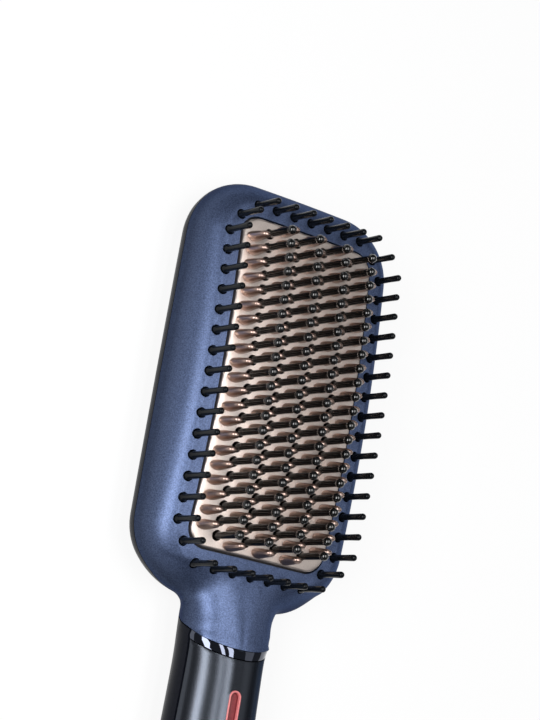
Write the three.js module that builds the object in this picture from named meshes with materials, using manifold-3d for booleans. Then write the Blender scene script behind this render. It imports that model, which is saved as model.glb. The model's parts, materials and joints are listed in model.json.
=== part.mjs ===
import * as THREE from 'three';
import { mergeVertices } from 'three/addons/utils/BufferGeometryUtils.js';
import Module from 'manifold-3d';

const wasm = await Module();
wasm.setup();
const { Manifold, Mesh: SolidMesh } = wasm;

// A heated paddle brush lying on its back: x across, y toward the head's top, z out of the bristle face.
// Sizes are in millimetres from the middle of the face. The group at the end moves them to the part's frame.

// Driving sizes
const GAP = 0.3; // between pieces that meet
const WALL = 2.2; // shells
const SEAM_Z = -13.5; // widest line and centre line of the handle

const face = { crownX: 0.00142, crownY: 0.00129 }; // the face falls by these times x² and y²

const head = {
  halfWidth: 37.35,
  bulge: 0.35, // the sides swell by this at mid length
  top: 64.4,
  topBulge: 0.5,
  topCorner: 19.4,
  cornerY: -45, // where the lower corners start
  lowerCorner: 18.5,
  lowerSweep: 28.5, // flatter arc that runs from the lower corner to the neck
  neckFillet: 3.6,
  seam: -16, // height of its widest line, where its two shells part
  shoulder: 7.1, // from the outline in to the crease of the face
  crease: THREE.MathUtils.degToRad(72), // share of a quarter ellipse that the shoulder turns through
  backCurve: 9, // width of the rounding behind the outline
};
const BACK_DEPTH = 12; // from the handle's centre line to the flat of the back

const handle = {
  stations: [[-71.5, 15.5], [-87, 14.9], [-140, 16.4], [-180, 16.7], [-216, 15.2]], // y, half width
  topLine: [
    [-58, -4.34], [-62.5, -5.1], [-67, -5.4], [-71.5, -4.5], [-76, -2.9], [-80, -1.8], [-90, -1.3],
    [-150, -0.8], [-216, -1.6],
  ],
  flat: 2, // half width of the flat strips along its front and back
  crease: THREE.MathUtils.degToRad(82),
  end: -216,
  seam: -10.1, // height of the seam between its two shells
  inset: 0.4, // the front half lies this much inside the neck's surface
};

const ring = { y: -80, z: -1.3, slope: 0.46, width: 2.6 }; // a band on a plane that leans toward the head

// Stiff border pins stand in a column along each side, a row at the top and bottom, and round the corners.
const columnPins = { inset: 7.8, pitch: 6.5, perColumn: 15 };
columnPins.x = head.halfWidth - columnPins.inset;
const topPins = { inset: 8.1, pitch: 6.74, count: 7 };
topPins.y = head.top - topPins.inset;
const bottomPins = { drop: 12.55, pitch: 6.66, count: 5 };
bottomPins.y = head.cornerY - bottomPins.drop;
const cornerPin = { inward: 3.4, below: 4.7, above: 6.05, rowInward: 9.3, rowAbove: 0.4 };
const cornerPins = [ // mirrored to both sides
  [columnPins.x - cornerPin.inward, topPins.y - cornerPin.below],
  [columnPins.x - cornerPin.inward, bottomPins.y + cornerPin.above],
  [columnPins.x - cornerPin.rowInward, bottomPins.y + cornerPin.rowAbove],
];
const pin = { height: 11.55, radius: 1.05, collar: 1.3, hole: 1.75, cone: 1.3, roundTip: 0.7, sides: 4 };
const pinFrame = { width: 2.9, thickness: 1.6, clearance: 1.7, corner: 12 };

const plate = { sideInset: 4.4, endInset: 4.3, corner: 6.2, raise: 0.8, thickness: 3, edge: 0.6 };
plate.halfWidth = columnPins.x - plate.sideInset;
plate.halfHeight = topPins.y - plate.endInset;

// The plate's teeth and ball-tipped bristles stand in alternate columns, up to a border at its sides.
const columnBorder = 3.95;
const columnPitch = (plate.halfWidth - columnBorder) / 4;
const rowPitch = 4.55;
const ball = {
  columns: [columnPitch, 3 * columnPitch], // mirrored
  rows: 22,
  centre: 13, // above the face
  radius: 1.47,
  stem: 1.15,
  hole: 2,
  sides: 4,
};
const fin = {
  columns: [ // mirrored
    { x: 0, rows: 23 },
    { x: 2 * columnPitch, rows: 23 },
    { x: 4 * columnPitch, rows: 21 },
  ],
  halfLength: 2.75, // across the head
  halfWidth: 1.55,
  height: 7.1,
  tip: 1.15,
  tipWidth: 0.62,
  shoulder: 0.9, // share of the height where the tip's rounding starts
  sides: 4,
};

const windowGap = 0.65; // dark line round the plate
const plateFrame = { under: 1.55, beyond: 1.25, thickness: 1.5 };
plateFrame.inner = plate.halfWidth - plateFrame.under;
plateFrame.outer = plate.halfWidth + plateFrame.beyond;

const carrier = { halfBar: 1.95, clearance: 0.55, top: -6.4, thickness: 2.2, crossWidth: 3.4 };
const betweenBars = 2 * (columnPitch - carrier.halfBar - carrier.clearance);
const rail = { shorter: 8, bottom: -7 }; // under two of the tooth columns: the heaters' seats
rail.x = 2 * columnPitch;
rail.width = betweenBars;
rail.halfLength = plate.halfHeight - rail.shorter;
const sensorRib = { width: betweenBars - GAP, halfLength: 30, bottom: -6.2 };
const heater = { width: rail.width - GAP, thickness: 2.4 };
const spring = { width: heater.width - 3 * GAP, thickness: 0.5, waves: 4, steps: 16, shorter: 8 };
const chassis = { longer: 2, corner: 6, top: -13, thickness: 1.5 };
chassis.halfWidth = plate.halfWidth;
chassis.halfLength = plate.halfHeight + chassis.longer;
const chassisPost = { x: (plateFrame.inner + plateFrame.outer) / 2, y: 33, radius: 1.6 };
const plateBoss = { clearance: 0.2, inset: 5.6, radius: 2.6, sides: 8 };
plateBoss.x = plateFrame.inner - plateBoss.radius - plateBoss.clearance;
plateBoss.y = plate.halfHeight - plateBoss.inset;
const chassisRibs = { ys: [-30, 0, 30], halfLength: 20, thickness: 1.6 };
const thermostat = { width: sensorRib.width, length: 12, height: 3.4 };
const thermostatTab = { x: 1.6, width: 0.6, length: 3, height: 2.2, drop: 0.8 };
const fuse = { y: 21, length: 10, radius: 1.9 };
const sensor = { y: -21, length: 6, radius: 1.3 };
const wire = { radius: 0.5, length: 3 }; // of the fuse and the sensor
const leads = { radius: 0.8, steps: 12, spread: 0.6 }; // spread is how far apart they end, as a share

const screw = { shaft: 1.1, headRadius: 2.3, headHeight: 1.6, socket: 1.2, socketDepth: 0.7, sides: 6 };
screw.hole = screw.shaft + 0.35;
screw.recess = screw.headRadius + 0.4;
const chassisScrewLength = 6;
const boardScrewLength = 5;
const shellScrew = { length: 10, seat: -21 }; // seat is the height that its head's underside rests on
const headBoss = { inset: 7, y: 38, radius: 3.1, top: -9.3, web: 0.8, cover: 1.2 };
headBoss.x = head.halfWidth - headBoss.inset;
const handleBoss = { fromEnd: 12, apart: 30 };
const handleBossYs = [handle.end + handleBoss.fromEnd + handleBoss.apart, handle.end + handleBoss.fromEnd];

const board = { fromRing: 7, fromBoss: 6, halfWidth: 9.5, top: -16, thickness: 1.6 };
board.y0 = ring.y - board.fromRing;
board.y1 = handleBossYs[0] + board.fromBoss;
const boardPost = { inset: 4, radius: 2.8 };
boardPost.ys = [board.y0 - boardPost.inset, board.y1 + boardPost.inset];

const slot = { fromRing: 12.5, length: 21, width: 3.1, lip: 0.55, proud: 0.1, floor: 0.9 };
slot.top = ring.y - slot.fromRing;
const knob = { length: 10.5, width: 7.6, height: 3, corner: 2.6, travel: 8, slope: 1.1 };
const ridges = { count: 3, height: 0.7 }; // across the knob
const stem = { width: 2.4, length: 8 }; // of the knob, through the slot
const carriage = { width: 5.6, overlap: 0.5, thickness: 1.2, fork: 3, forkReach: 2.6 };
const switchBody = { width: 8, length: 17, height: 8.6, lever: 1.6, leverDepth: 3 };

const guide = { belowSlot: 16.5, radius: 1.2, flange: 2.1, flangeThickness: 1, overLed: 0.3, sides: 10 };
guide.y = slot.top - slot.length - guide.belowSlot;
const led = { width: 2.8, height: 1.8 };
const capacitor = { fromGuide: 7, width: 13, length: 13, height: 7.7 };
capacitor.y = guide.y - capacitor.fromGuide - capacitor.length / 2;
const triac = { fromPost: 3, width: 10, thickness: 4.5, height: 8.7, tab: 2, tabThickness: 1 };
triac.y = boardPost.ys[1] + triac.fromPost + triac.thickness / 2;

const cap = { length: 8, plug: 7, wall: 2.4, plugWall: 1.7, fit: 0.985, endShare: 0.62, sides: 16, steps: 4 };
const gland = {
  neck: 5.5,
  bore: 3.1,
  flange: 6.8,
  flangeLength: 2.4,
  boot: 6.4,
  tip: 4.7,
  bootLength: 22,
  ribbed: 0.8, // share of the boot's length
  ribs: 3,
  groove: 0.7,
};
const retainer = { thickness: 2.2, hole: gland.bore + 1.2, sides: 16 };
const contact = { tail: 2, sides: 10, height: 3, blade: 0.5, bladeLength: 5, foot: 3.4 }; // at the swivel

// Materials
function finish(color, roughness, metalness) {
  return new THREE.MeshStandardMaterial({ color, roughness, metalness });
}
const blueLacquer = finish('#3f4a74', 0.32, 0.65);
const blackGloss = finish('#101216', 0.3, 0);
const gunmetal = finish('#3d4350', 0.35, 0.6);
const mirrorBlack = finish('#0b0f1c', 0.05, 0.9);
const champagne = finish('#e3cdbf', 0.35, 0.55);
const bristleBlack = finish('#15181a', 0.35, 0);
const heatPlastic = finish('#1d1b1a', 0.6, 0);
const coral = finish('#e58888', 0.35, 0);
const ceramic = finish('#e8e6df', 0.6, 0);
const steel = finish('#b9bcc0', 0.3, 0.9);
const brass = finish('#c8a24a', 0.35, 0.9);
const boardGreen = finish('#2c5d3b', 0.6, 0);
const siliconeWhite = finish('#dedcd6', 0.7, 0);
const lens = finish('#f0f2f4', 0.1, 0);
const componentGrey = finish('#5a5d62', 0.5, 0);
const orangeFilm = finish('#c8762c', 0.4, 0);

// Turns a closed geometry into a solid that can be cut and joined.
function solid(geometry) {
  const bare = geometry.clone();
  bare.deleteAttribute('normal');
  bare.deleteAttribute('uv');
  const merged = mergeVertices(bare, 1e-4);
  const index = merged.index.array;
  const kept = [];
  for (let i = 0; i < index.length; i += 3) {
    const [a, b, c] = [index[i], index[i + 1], index[i + 2]];
    if (a !== b && b !== c && c !== a) kept.push(a, b, c);
  }
  const vertProperties = new Float32Array(merged.attributes.position.array);
  return new Manifold(new SolidMesh({ numProp: 3, vertProperties, triVerts: new Uint32Array(kept) }));
}

// Makes a solid from a flat list of coordinates, three corners to a triangle.
function solidFrom(coordinates) {
  const geometry = new THREE.BufferGeometry();
  geometry.setAttribute('position', new THREE.Float32BufferAttribute(coordinates, 3));
  return solid(geometry);
}

const join = (solids) => Manifold.union(solids);
const cornersOf = ({ x, y }) => [[x, y], [x, -y], [-x, y], [-x, -y]];

function box(x0, x1, y0, y1, z0, z1) {
  const geometry = new THREE.BoxGeometry(Math.abs(x1 - x0), Math.abs(y1 - y0), Math.abs(z1 - z0));
  return solid(geometry.translate((x0 + x1) / 2, (y0 + y1) / 2, (z0 + z1) / 2));
}

function upright(radius, x, y, z0, z1, sides = screw.sides) {
  const geometry = new THREE.CylinderGeometry(radius, radius, z1 - z0, sides).rotateX(Math.PI / 2);
  return solid(geometry.translate(x, y, (z0 + z1) / 2));
}

// Revolves a profile of [radius, height] pairs about a vertical line.
function turned(profile, x, y, z, sides) {
  const points = profile.map(([r, h]) => new THREE.Vector2(r, h));
  return solid(new THREE.LatheGeometry(points, sides).rotateX(Math.PI / 2).translate(x, y, z));
}

// Extrudes an outline drawn in (y, z) along x.
function sidePrism(points, x0, x1) {
  const shape = new THREE.Shape(points.map(([y, z]) => new THREE.Vector2(y, z)));
  const geometry = new THREE.ExtrudeGeometry(shape, { depth: x1 - x0, bevelEnabled: false });
  const turn = new THREE.Matrix4().makeBasis(
    new THREE.Vector3(0, 1, 0), new THREE.Vector3(0, 0, 1), new THREE.Vector3(1, 0, 0));
  return solid(geometry.applyMatrix4(turn).translate(x0, 0, 0));
}

function roundedRect(halfWidth, halfHeight, radius) {
  const shape = new THREE.Shape();
  shape.moveTo(halfWidth, halfHeight - radius);
  shape.absarc(halfWidth - radius, halfHeight - radius, radius, 0, Math.PI / 2);
  shape.absarc(radius - halfWidth, halfHeight - radius, radius, Math.PI / 2, Math.PI);
  shape.absarc(radius - halfWidth, radius - halfHeight, radius, Math.PI, 1.5 * Math.PI);
  shape.absarc(halfWidth - radius, radius - halfHeight, radius, 1.5 * Math.PI, 2 * Math.PI);
  return shape;
}

function rectPrism(halfWidth, halfHeight, radius, z0, z1, curveSegments = 3) {
  const shape = roundedRect(halfWidth, halfHeight, radius);
  const geometry = new THREE.ExtrudeGeometry(shape, { depth: z1 - z0, bevelEnabled: false, curveSegments });
  return solid(geometry.translate(0, 0, z0));
}

// Smooth value at y through stations of [y, value] that run toward the handle's end.
function along(stations, y) {
  const last = stations.length - 1;
  if (y >= stations[0][0]) return stations[0][1];
  if (y <= stations[last][0]) return stations[last][1];
  const i = stations.findIndex(([stationY]) => stationY < y) - 1;
  const slope = (k) => {
    const a = stations[Math.max(k - 1, 0)];
    const b = stations[Math.min(k + 1, last)];
    return (b[1] - a[1]) / (b[0] - a[0]);
  };
  const [[y0, v0], [y1, v1]] = [stations[i], stations[i + 1]];
  const step = y1 - y0;
  const t = (y - y0) / step;
  const [t2, t3] = [t * t, t * t * t];
  return (2 * t3 - 3 * t2 + 1) * v0 + (t3 - 2 * t2 + t) * step * slope(i)
    + (3 * t2 - 2 * t3) * v1 + (t3 - t2) * step * slope(i + 1);
}

const crown = (x, y) => -face.crownX * x * x - face.crownY * y * y;
const faceEnd = handle.topLine[0][0];
const frontZ = (x, y) => (y >= faceEnd ? crown(x, y) : along(handle.topLine, y) - face.crownX * x * x);

// Half of the plan outline from the top's middle round to the handle's end. neck runs from 0 on the head
// to 1 on the handle.
const TOP_FRACTIONS = [0, 0.55];
function bodyOutline() {
  const points = [];
  const add = (x, y, neck = 0) => {
    const swell = head.bulge * Math.max(0, 1 - (y / head.top) ** 2);
    const lift = y > 0 ? head.topBulge * Math.max(0, 1 - (x / head.halfWidth) ** 2) * (y / head.top) : 0;
    const share = Math.min(1, Math.abs(x) / head.halfWidth);
    points.push({ x: x + swell * share * share * (1 - neck), y: y + lift, neck });
  };
  const arc = (cx, cy, r, from, to, steps, neckFrom = 0, neckTo = 0) => {
    for (let i = 1; i <= steps; i++) {
      const t = i / steps;
      const angle = from + (to - from) * t;
      add(cx + r * Math.cos(angle), cy + r * Math.sin(angle), neckFrom + (neckTo - neckFrom) * t);
    }
  };
  const cornerX = head.halfWidth - head.topCorner;
  for (const fraction of TOP_FRACTIONS) add(cornerX * fraction, head.top);
  add(cornerX, head.top);
  const topArcY = head.top - head.topCorner;
  arc(cornerX, topArcY, head.topCorner, Math.PI / 2, 0, 6);
  const sideSteps = 4;
  for (let i = 1; i <= sideSteps; i++) {
    add(head.halfWidth, topArcY + (head.cornerY - topArcY) * i / sideSteps);
  }
  const mid = Math.PI / 4;
  arc(head.halfWidth - head.lowerCorner, head.cornerY, head.lowerCorner, 0, -mid, 3);
  const slide = (head.lowerCorner - head.lowerSweep) * Math.cos(mid);
  const sweepX = head.halfWidth - head.lowerCorner + slide;
  const sweepY = head.cornerY - slide;
  const neckHalf = handle.stations[0][1];
  const reach = head.lowerSweep + head.neckFillet;
  const sweepEnd = Math.acos((neckHalf + head.neckFillet - sweepX) / reach);
  arc(sweepX, sweepY, head.lowerSweep, -mid, -sweepEnd, 3);
  const filletX = sweepX + reach * Math.cos(sweepEnd);
  const filletY = sweepY - reach * Math.sin(sweepEnd);
  arc(filletX, filletY, head.neckFillet, Math.PI - sweepEnd, Math.PI, 3, 0, 1);
  const handleSteps = 10;
  const tail = handle.end - 20; // runs past the end, where it is cut off
  for (let i = 1; i <= handleSteps; i++) {
    const y = filletY + (tail - filletY) * (i / handleSteps) ** 1.5; // closer steps at the neck
    points.push({ x: along(handle.stations, y), y, neck: 1 });
  }
  return withNormals(points);
}

function withNormals(points) {
  const last = points.length - 1;
  return points.map((p, i) => {
    if (i === 0) return { ...p, nx: 0, ny: 1 };
    if (i === last) return p.x < 1e-6 ? { ...p, nx: 0, ny: -1 } : { ...p, nx: 1, ny: 0 };
    const [a, b] = [points[i - 1], points[i + 1]];
    const length = Math.hypot(b.x - a.x, b.y - a.y);
    return { ...p, nx: -(b.y - a.y) / length, ny: (b.x - a.x) / length };
  });
}

// Builds a closed solid over a half outline: rings step in from it, up at the front and down at the back,
// and rows of columns fill the middle of each side. A ring maps an outline point to [inward step, z].
function cushion(half, frontRings, backRings, frontFill, backFill, closedEnd) {
  const triangles = [];
  const quad = (a, b, c, d) => triangles.push(...a, ...b, ...c, ...a, ...c, ...d);
  const at = (p, [inward, z], side) => [side * Math.max(0, p.x - p.nx * inward), p.y - p.ny * inward, z];
  const mirror = ([x, y, z]) => [-x, y, z];
  const edge = TOP_FRACTIONS.length;
  const place = (rings, side) => rings.map((r) => half.map((p) => at(p, r(p), side)));
  const skin = (rings, flip) => {
    for (const side of [1, -1]) {
      const grid = place(rings, side);
      for (let k = 0; k + 1 < grid.length; k++) {
        for (let i = 0; i + 1 < half.length; i++) {
          const corners = [grid[k][i], grid[k][i + 1], grid[k + 1][i + 1], grid[k + 1][i]];
          if ((side > 0) !== flip) corners.reverse();
          quad(...corners);
        }
      }
    }
    const [inner, outer] = [place([rings.at(-1)], 1)[0], place([rings.at(-1)], -1)[0]];
    const fill = flip ? backFill : frontFill;
    const across = (ids) => [...ids.map((i) => outer[i]).reverse(), ...ids.slice(1).map((i) => inner[i])];
    const ids = [...Array(edge + 1).keys()];
    const rows = [across(ids)];
    const stop = half.length - (closedEnd ? edge + 1 : 0);
    for (let i = edge + 1; i < stop; i++) {
      const [x, y, z] = inner[i];
      const right = [...TOP_FRACTIONS.slice(1).map((f) => [x * f, y, fill(x * f, y)]), [x, y, z]];
      rows.push([...right.map(mirror).reverse(), [0, y, fill(0, y)], ...right]);
    }
    if (closedEnd) rows.push(across(ids.map((i) => half.length - 1 - i)));
    for (let j = 0; j + 1 < rows.length; j++) {
      for (let c = 0; c + 1 < rows[j].length; c++) {
        const corners = [rows[j][c], rows[j + 1][c], rows[j + 1][c + 1], rows[j][c + 1]];
        if (flip) corners.reverse();
        quad(...corners);
      }
    }
    return { grid: place(rings, 1).map((r) => r.at(-1)), row: rows.at(-1) };
  };
  const front = skin(frontRings, false);
  const back = skin(backRings, true);
  if (!closedEnd) {
    const rim = [
      ...front.grid, ...front.row.slice(1, -1).reverse(), ...front.grid.map(mirror).reverse(),
      ...back.grid.slice(1).map(mirror), ...back.row.slice(1, -1), ...back.grid.slice(1).reverse(),
    ];
    const centre = [0, half.at(-1).y, SEAM_Z];
    rim.forEach((p, i) => triangles.push(...centre, ...p, ...rim[(i + 1) % rim.length]));
  }
  return solidFrom(triangles);
}

const mix = (a, b, t) => a + (b - a) * t;

// The brush's whole outer form, drawn in by an inset.
function bodyForm(inset, frontSteps, backSteps) {
  const half = bodyOutline();
  const frontShoulder = (p) => mix(head.shoulder, Math.max(p.x - handle.flat, 0), p.neck);
  const backShoulder = (p) => mix(head.backCurve, Math.max(p.x - handle.flat, 0), p.neck);
  const widest = (p) => mix(head.seam, SEAM_Z, p.neck);
  const floor = SEAM_Z - BACK_DEPTH + inset;
  const frontRings = [];
  for (let k = 0; k <= frontSteps; k++) {
    frontRings.push((p) => {
      const turn = mix(head.crease, handle.crease, p.neck);
      const angle = turn * k / frontSteps;
      const width = frontShoulder(p);
      const zEdge = frontZ(Math.max(0, p.x - p.nx * width), p.y - p.ny * width) - inset;
      const inward = inset + (width - inset) * (1 - Math.cos(angle)) / (1 - Math.cos(turn));
      return [inward, mix(widest(p), zEdge, Math.sin(angle) / Math.sin(turn))];
    });
  }
  const backRings = [];
  for (let k = 0; k <= backSteps; k++) {
    backRings.push((p) => {
      const angle = Math.PI / 2 * k / backSteps;
      const inward = inset + (backShoulder(p) - inset) * (1 - Math.cos(angle));
      return [inward, mix(widest(p), floor, Math.sin(angle))];
    });
  }
  const frontFill = (x, y) => frontZ(x, y) - inset;
  const backFill = () => floor;
  return cushion(half, frontRings, backRings, frontFill, backFill, false);
}

// Rounded rectangle as a half outline with the same columns as the body's.
function rectOutline(halfWidth, halfHeight, corner, sideSteps) {
  const points = [];
  const cornerX = halfWidth - corner;
  for (const fraction of [...TOP_FRACTIONS, 1]) points.push({ x: cornerX * fraction, y: halfHeight });
  const cornerSteps = 3;
  const turnCorner = (cy, from) => {
    for (let i = 1; i <= cornerSteps; i++) {
      const angle = from - Math.PI / 2 * i / cornerSteps;
      points.push({ x: cornerX + corner * Math.cos(angle), y: cy + corner * Math.sin(angle) });
    }
  };
  const cy = halfHeight - corner;
  turnCorner(cy, Math.PI / 2);
  for (let i = 1; i <= sideSteps; i++) points.push({ x: halfWidth, y: cy - 2 * cy * i / sideSteps });
  turnCorner(-cy, 0);
  for (const fraction of [...TOP_FRACTIONS].reverse()) points.push({ x: cornerX * fraction, y: -halfHeight });
  return withNormals(points);
}

// Shells

const farY = 90;
const farZ = 60;
const ringY = (z) => ring.y + ring.slope * (ring.z - z);
const seamTip = { y0: -61, y1: -66, z1: -17.6, z2: -20.8 }; // the neck's front shell reaches down to a tip
const outerForm = bodyForm(0, 4, 3);
const handleForm = bodyForm(handle.inset, 4, 3);
const cavity = bodyForm(WALL, 2, 2);
const shellStock = outerForm.subtract(cavity);
const handleStock = handleForm.subtract(cavity);
const HALF_SPAN = 60;

function headRegion() {
  return sidePrism([
    [farY, farZ], [farY, head.seam], [seamTip.y0, head.seam], [seamTip.y1, seamTip.z1],
    [ringY(seamTip.z2), seamTip.z2], [ringY(farZ), farZ],
  ], -HALF_SPAN, HALF_SPAN);
}

function rearRegion() {
  const down = head.seam - GAP;
  return sidePrism([
    [farY, down], [seamTip.y0, down], [seamTip.y1 + GAP, seamTip.z1 - GAP],
    [ringY(seamTip.z2) - GAP / 2, seamTip.z2 - 2 * GAP], [ringY(handle.seam) - GAP, handle.seam - GAP],
    [handle.end, handle.seam - GAP], [handle.end, -farZ], [farY, -farZ],
  ], -HALF_SPAN, HALF_SPAN);
}

// Part of the front half that lies between two leaning planes
function bandRegion(from, to, backStop) {
  const seam = handle.seam;
  const points = [[ringY(seam) - from, seam], [ringY(farZ) - from, farZ]];
  if (backStop) points.push([backStop, farZ], [backStop, seam]);
  else points.push([ringY(farZ) - to, farZ], [ringY(seam) - to, seam]);
  return sidePrism(points, -HALF_SPAN, HALF_SPAN);
}

// Bristle places
function borderPinPlaces() {
  const places = [];
  for (const side of [1, -1]) {
    for (let i = 0; i < columnPins.perColumn; i++) {
      places.push([side * columnPins.x, columnPins.pitch * (i - (columnPins.perColumn - 1) / 2)]);
    }
    for (const [x, y] of cornerPins) places.push([side * x, y]);
  }
  for (const row of [topPins, bottomPins]) {
    for (let i = 0; i < row.count; i++) places.push([row.pitch * (i - (row.count - 1) / 2), row.y]);
  }
  return places;
}

function ballPlaces() {
  const places = [];
  for (const column of ball.columns) {
    for (const side of [1, -1]) {
      for (let i = 0; i < ball.rows; i++) places.push([side * column, rowPitch * (i - (ball.rows - 1) / 2)]);
    }
  }
  return places;
}

function finPlaces() {
  const places = [];
  for (const { x, rows } of fin.columns) {
    for (const side of x ? [1, -1] : [1]) {
      for (let i = 0; i < rows; i++) places.push([side * x, rowPitch * (i - (rows - 1) / 2)]);
    }
  }
  return places;
}

function headFrontShell() {
  const window = rectPrism(plate.halfWidth + windowGap, plate.halfHeight + windowGap,
    plate.corner + windowGap, SEAM_Z, farZ);
  const holes = borderPinPlaces().map(([x, y]) => upright(pin.hole, x, y, SEAM_Z, farZ, pin.sides));
  const bosses = [];
  const pilots = [];
  for (const [x, y] of cornersOf(headBoss)) {
    bosses.push(upright(headBoss.radius, x, y, SEAM_Z, headBoss.top));
    bosses.push(box(x, 2 * x, y - headBoss.web, y + headBoss.web, SEAM_Z, headBoss.top)); // out to the wall
    pilots.push(upright(screw.hole, x, y, SEAM_Z - 1, headBoss.top - headBoss.cover));
  }
  const insideBosses = join(bosses).intersect(outerForm);
  return shellStock.intersect(headRegion()).subtract(join([window, ...holes])).add(insideBosses)
    .subtract(join(pilots));
}

function rearShell() {
  const floor = SEAM_Z - BACK_DEPTH;
  const rooted = floor + WALL / 2; // where posts and ribs start inside the wall
  const posts = [];
  const bores = [];
  for (const [x, y] of [...cornersOf(headBoss), ...handleBossYs.map((bossY) => [0, bossY])]) {
    posts.push(upright(headBoss.radius, x, y, rooted, SEAM_Z - GAP));
    bores.push(upright(screw.hole, x, y, floor - 1, SEAM_Z));
    bores.push(upright(screw.recess, x, y, floor - 1, shellScrew.seat, 10));
  }
  for (const y of boardPost.ys) {
    posts.push(upright(boardPost.radius, 0, y, rooted, board.top - board.thickness - GAP));
    bores.push(upright(screw.hole, 0, y, floor + WALL, board.top));
  }
  for (const y of chassisRibs.ys) {
    posts.push(box(-chassisRibs.halfLength, chassisRibs.halfLength, y - chassisRibs.thickness / 2,
      y + chassisRibs.thickness / 2, rooted, chassis.top - chassis.thickness - GAP));
  }
  return shellStock.intersect(rearRegion()).add(join(posts).intersect(outerForm)).subtract(join(bores));
}

// Slot and knob places along the handle
const slotMid = slot.top - slot.length / 2;
const surfaceZ = (y) => along(handle.topLine, y) - handle.inset;
const slotSurface = surfaceZ(slotMid);
const slotCeiling = slotSurface - slot.floor;
const carriageTop = slotCeiling - GAP;
const knobMid = slot.top - slot.length + GAP + knob.length / 2;
const carriageLength = slot.length + knob.travel + 2 * carriage.overlap; // covers the slot at both ends
const carriageMid = slotMid - knob.travel / 2;

function stadium(width, length, y, z0, z1) {
  return rectPrism(width / 2, length / 2, width / 2 - 0.01, z0, z1).translate([0, y, 0]);
}

function handleFrontShell() {
  const region = bandRegion(ring.width + 2 * GAP, 0, handle.end);
  const bosses = [];
  const pilots = [];
  for (const y of handleBossYs) {
    bosses.push(upright(headBoss.radius, 0, y, SEAM_Z, surfaceZ(y) - 0.5));
    pilots.push(upright(screw.hole, 0, y, SEAM_Z - 1, headBoss.top));
  }
  const pocket = box(-carriage.width / 2 - GAP, carriage.width / 2 + GAP,
    carriageMid - carriageLength / 2 - GAP, carriageMid + carriageLength / 2 + knob.travel + GAP,
    SEAM_Z, slotCeiling);
  const opening = stadium(slot.width + 2 * slot.lip + 2 * GAP, slot.length + 2 * slot.lip + 2 * GAP, slotMid,
    SEAM_Z, farZ);
  const guideHole = upright(guide.radius + GAP, 0, guide.y, SEAM_Z, farZ);
  return handleStock.intersect(region).add(join(bosses))
    .subtract(join([pocket, opening, guideHole, ...pilots]));
}

function trimRing() {
  return handleStock.intersect(bandRegion(GAP, GAP + ring.width));
}

// Heating plate and bristles

const plateTop = (x, y) => crown(x, y) + plate.raise;

function heatingPlate() {
  const half = rectOutline(plate.halfWidth, plate.halfHeight, plate.corner, 6);
  const topAt = (p, inward) => plateTop(p.x - p.nx * inward, p.y - p.ny * inward);
  const frontRings = [
    (p) => [0, topAt(p, 0) - plate.thickness / 2],
    (p) => [0, topAt(p, 0) - plate.edge],
    (p) => [plate.edge, topAt(p, plate.edge)],
  ];
  const backRings = [
    (p) => [0, topAt(p, 0) - plate.thickness / 2],
    (p) => [0, topAt(p, 0) - plate.thickness],
    (p) => [plate.edge, topAt(p, plate.edge) - plate.thickness],
  ];
  const plateBottom = (x, y) => plateTop(x, y) - plate.thickness;
  const sheet = cushion(half, frontRings, backRings, plateTop, plateBottom, true);
  const added = [];
  const railTop = -plate.thickness;
  for (const x of [rail.x, -rail.x]) {
    added.push(box(x - rail.width / 2, x + rail.width / 2, -rail.halfLength, rail.halfLength,
      rail.bottom, railTop));
  }
  added.push(box(-sensorRib.width / 2, sensorRib.width / 2, -sensorRib.halfLength, sensorRib.halfLength,
    sensorRib.bottom, railTop));
  for (const [x, y] of cornersOf(plateBoss)) {
    const rooted = plateTop(x, y) - plate.thickness / 2;
    added.push(upright(plateBoss.radius, x, y, chassis.top + GAP, rooted, plateBoss.sides));
  }
  const fins = finPlaces().map(([x, y]) => finSolid(x, y));
  const cuts = ballPlaces().map(([x, y]) => (
    upright(ball.hole, x, y, rail.bottom, plate.raise + 1, ball.sides)));
  for (const [x, y] of cornersOf(plateBoss)) {
    cuts.push(upright(screw.hole, x, y, chassis.top - 1, chassis.top + chassisScrewLength, plateBoss.sides));
  }
  return join([sheet, ...added]).subtract(join(cuts)).add(join(fins));
}

// A smooth tooth on an oval foot that narrows to a rounded ridge
function finSolid(x, y) {
  const base = plateTop(x, y);
  const sink = plate.thickness / 5; // into the plate, where the two are one
  const levels = [
    [fin.halfLength, fin.halfWidth, -sink],
    [fin.tip, fin.tipWidth, fin.height * fin.shoulder],
  ];
  const point = ([rx, ry, h], i) => {
    const angle = 2 * Math.PI * i / fin.sides;
    return [x + rx * Math.cos(angle), y + ry * Math.sin(angle), base + h];
  };
  const triangles = [];
  const low = [x, y, base - sink];
  const high = [x, y, base + fin.height];
  for (let i = 0; i < fin.sides; i++) {
    triangles.push(...low, ...point(levels[0], i + 1), ...point(levels[0], i));
    for (let k = 0; k + 1 < levels.length; k++) {
      const [a, b] = [point(levels[k], i), point(levels[k], i + 1)];
      const [c, d] = [point(levels[k + 1], i + 1), point(levels[k + 1], i)];
      triangles.push(...a, ...b, ...c, ...a, ...c, ...d);
    }
    triangles.push(...point(levels.at(-1), i), ...point(levels.at(-1), i + 1), ...high);
  }
  return solidFrom(triangles);
}

function plateFrameSolid() {
  const under = plate.raise - plate.thickness - GAP;
  const reach = plateFrame.outer - plate.halfWidth;
  const draw = plateFrame.outer - plateFrame.inner;
  const half = rectOutline(plateFrame.outer, plate.halfHeight + reach, plate.corner + reach, 6);
  const top = (p, inward) => crown(p.x - p.nx * inward, p.y - p.ny * inward) + under;
  return bandAround(half, draw, top, plateFrame.thickness);
}

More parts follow.
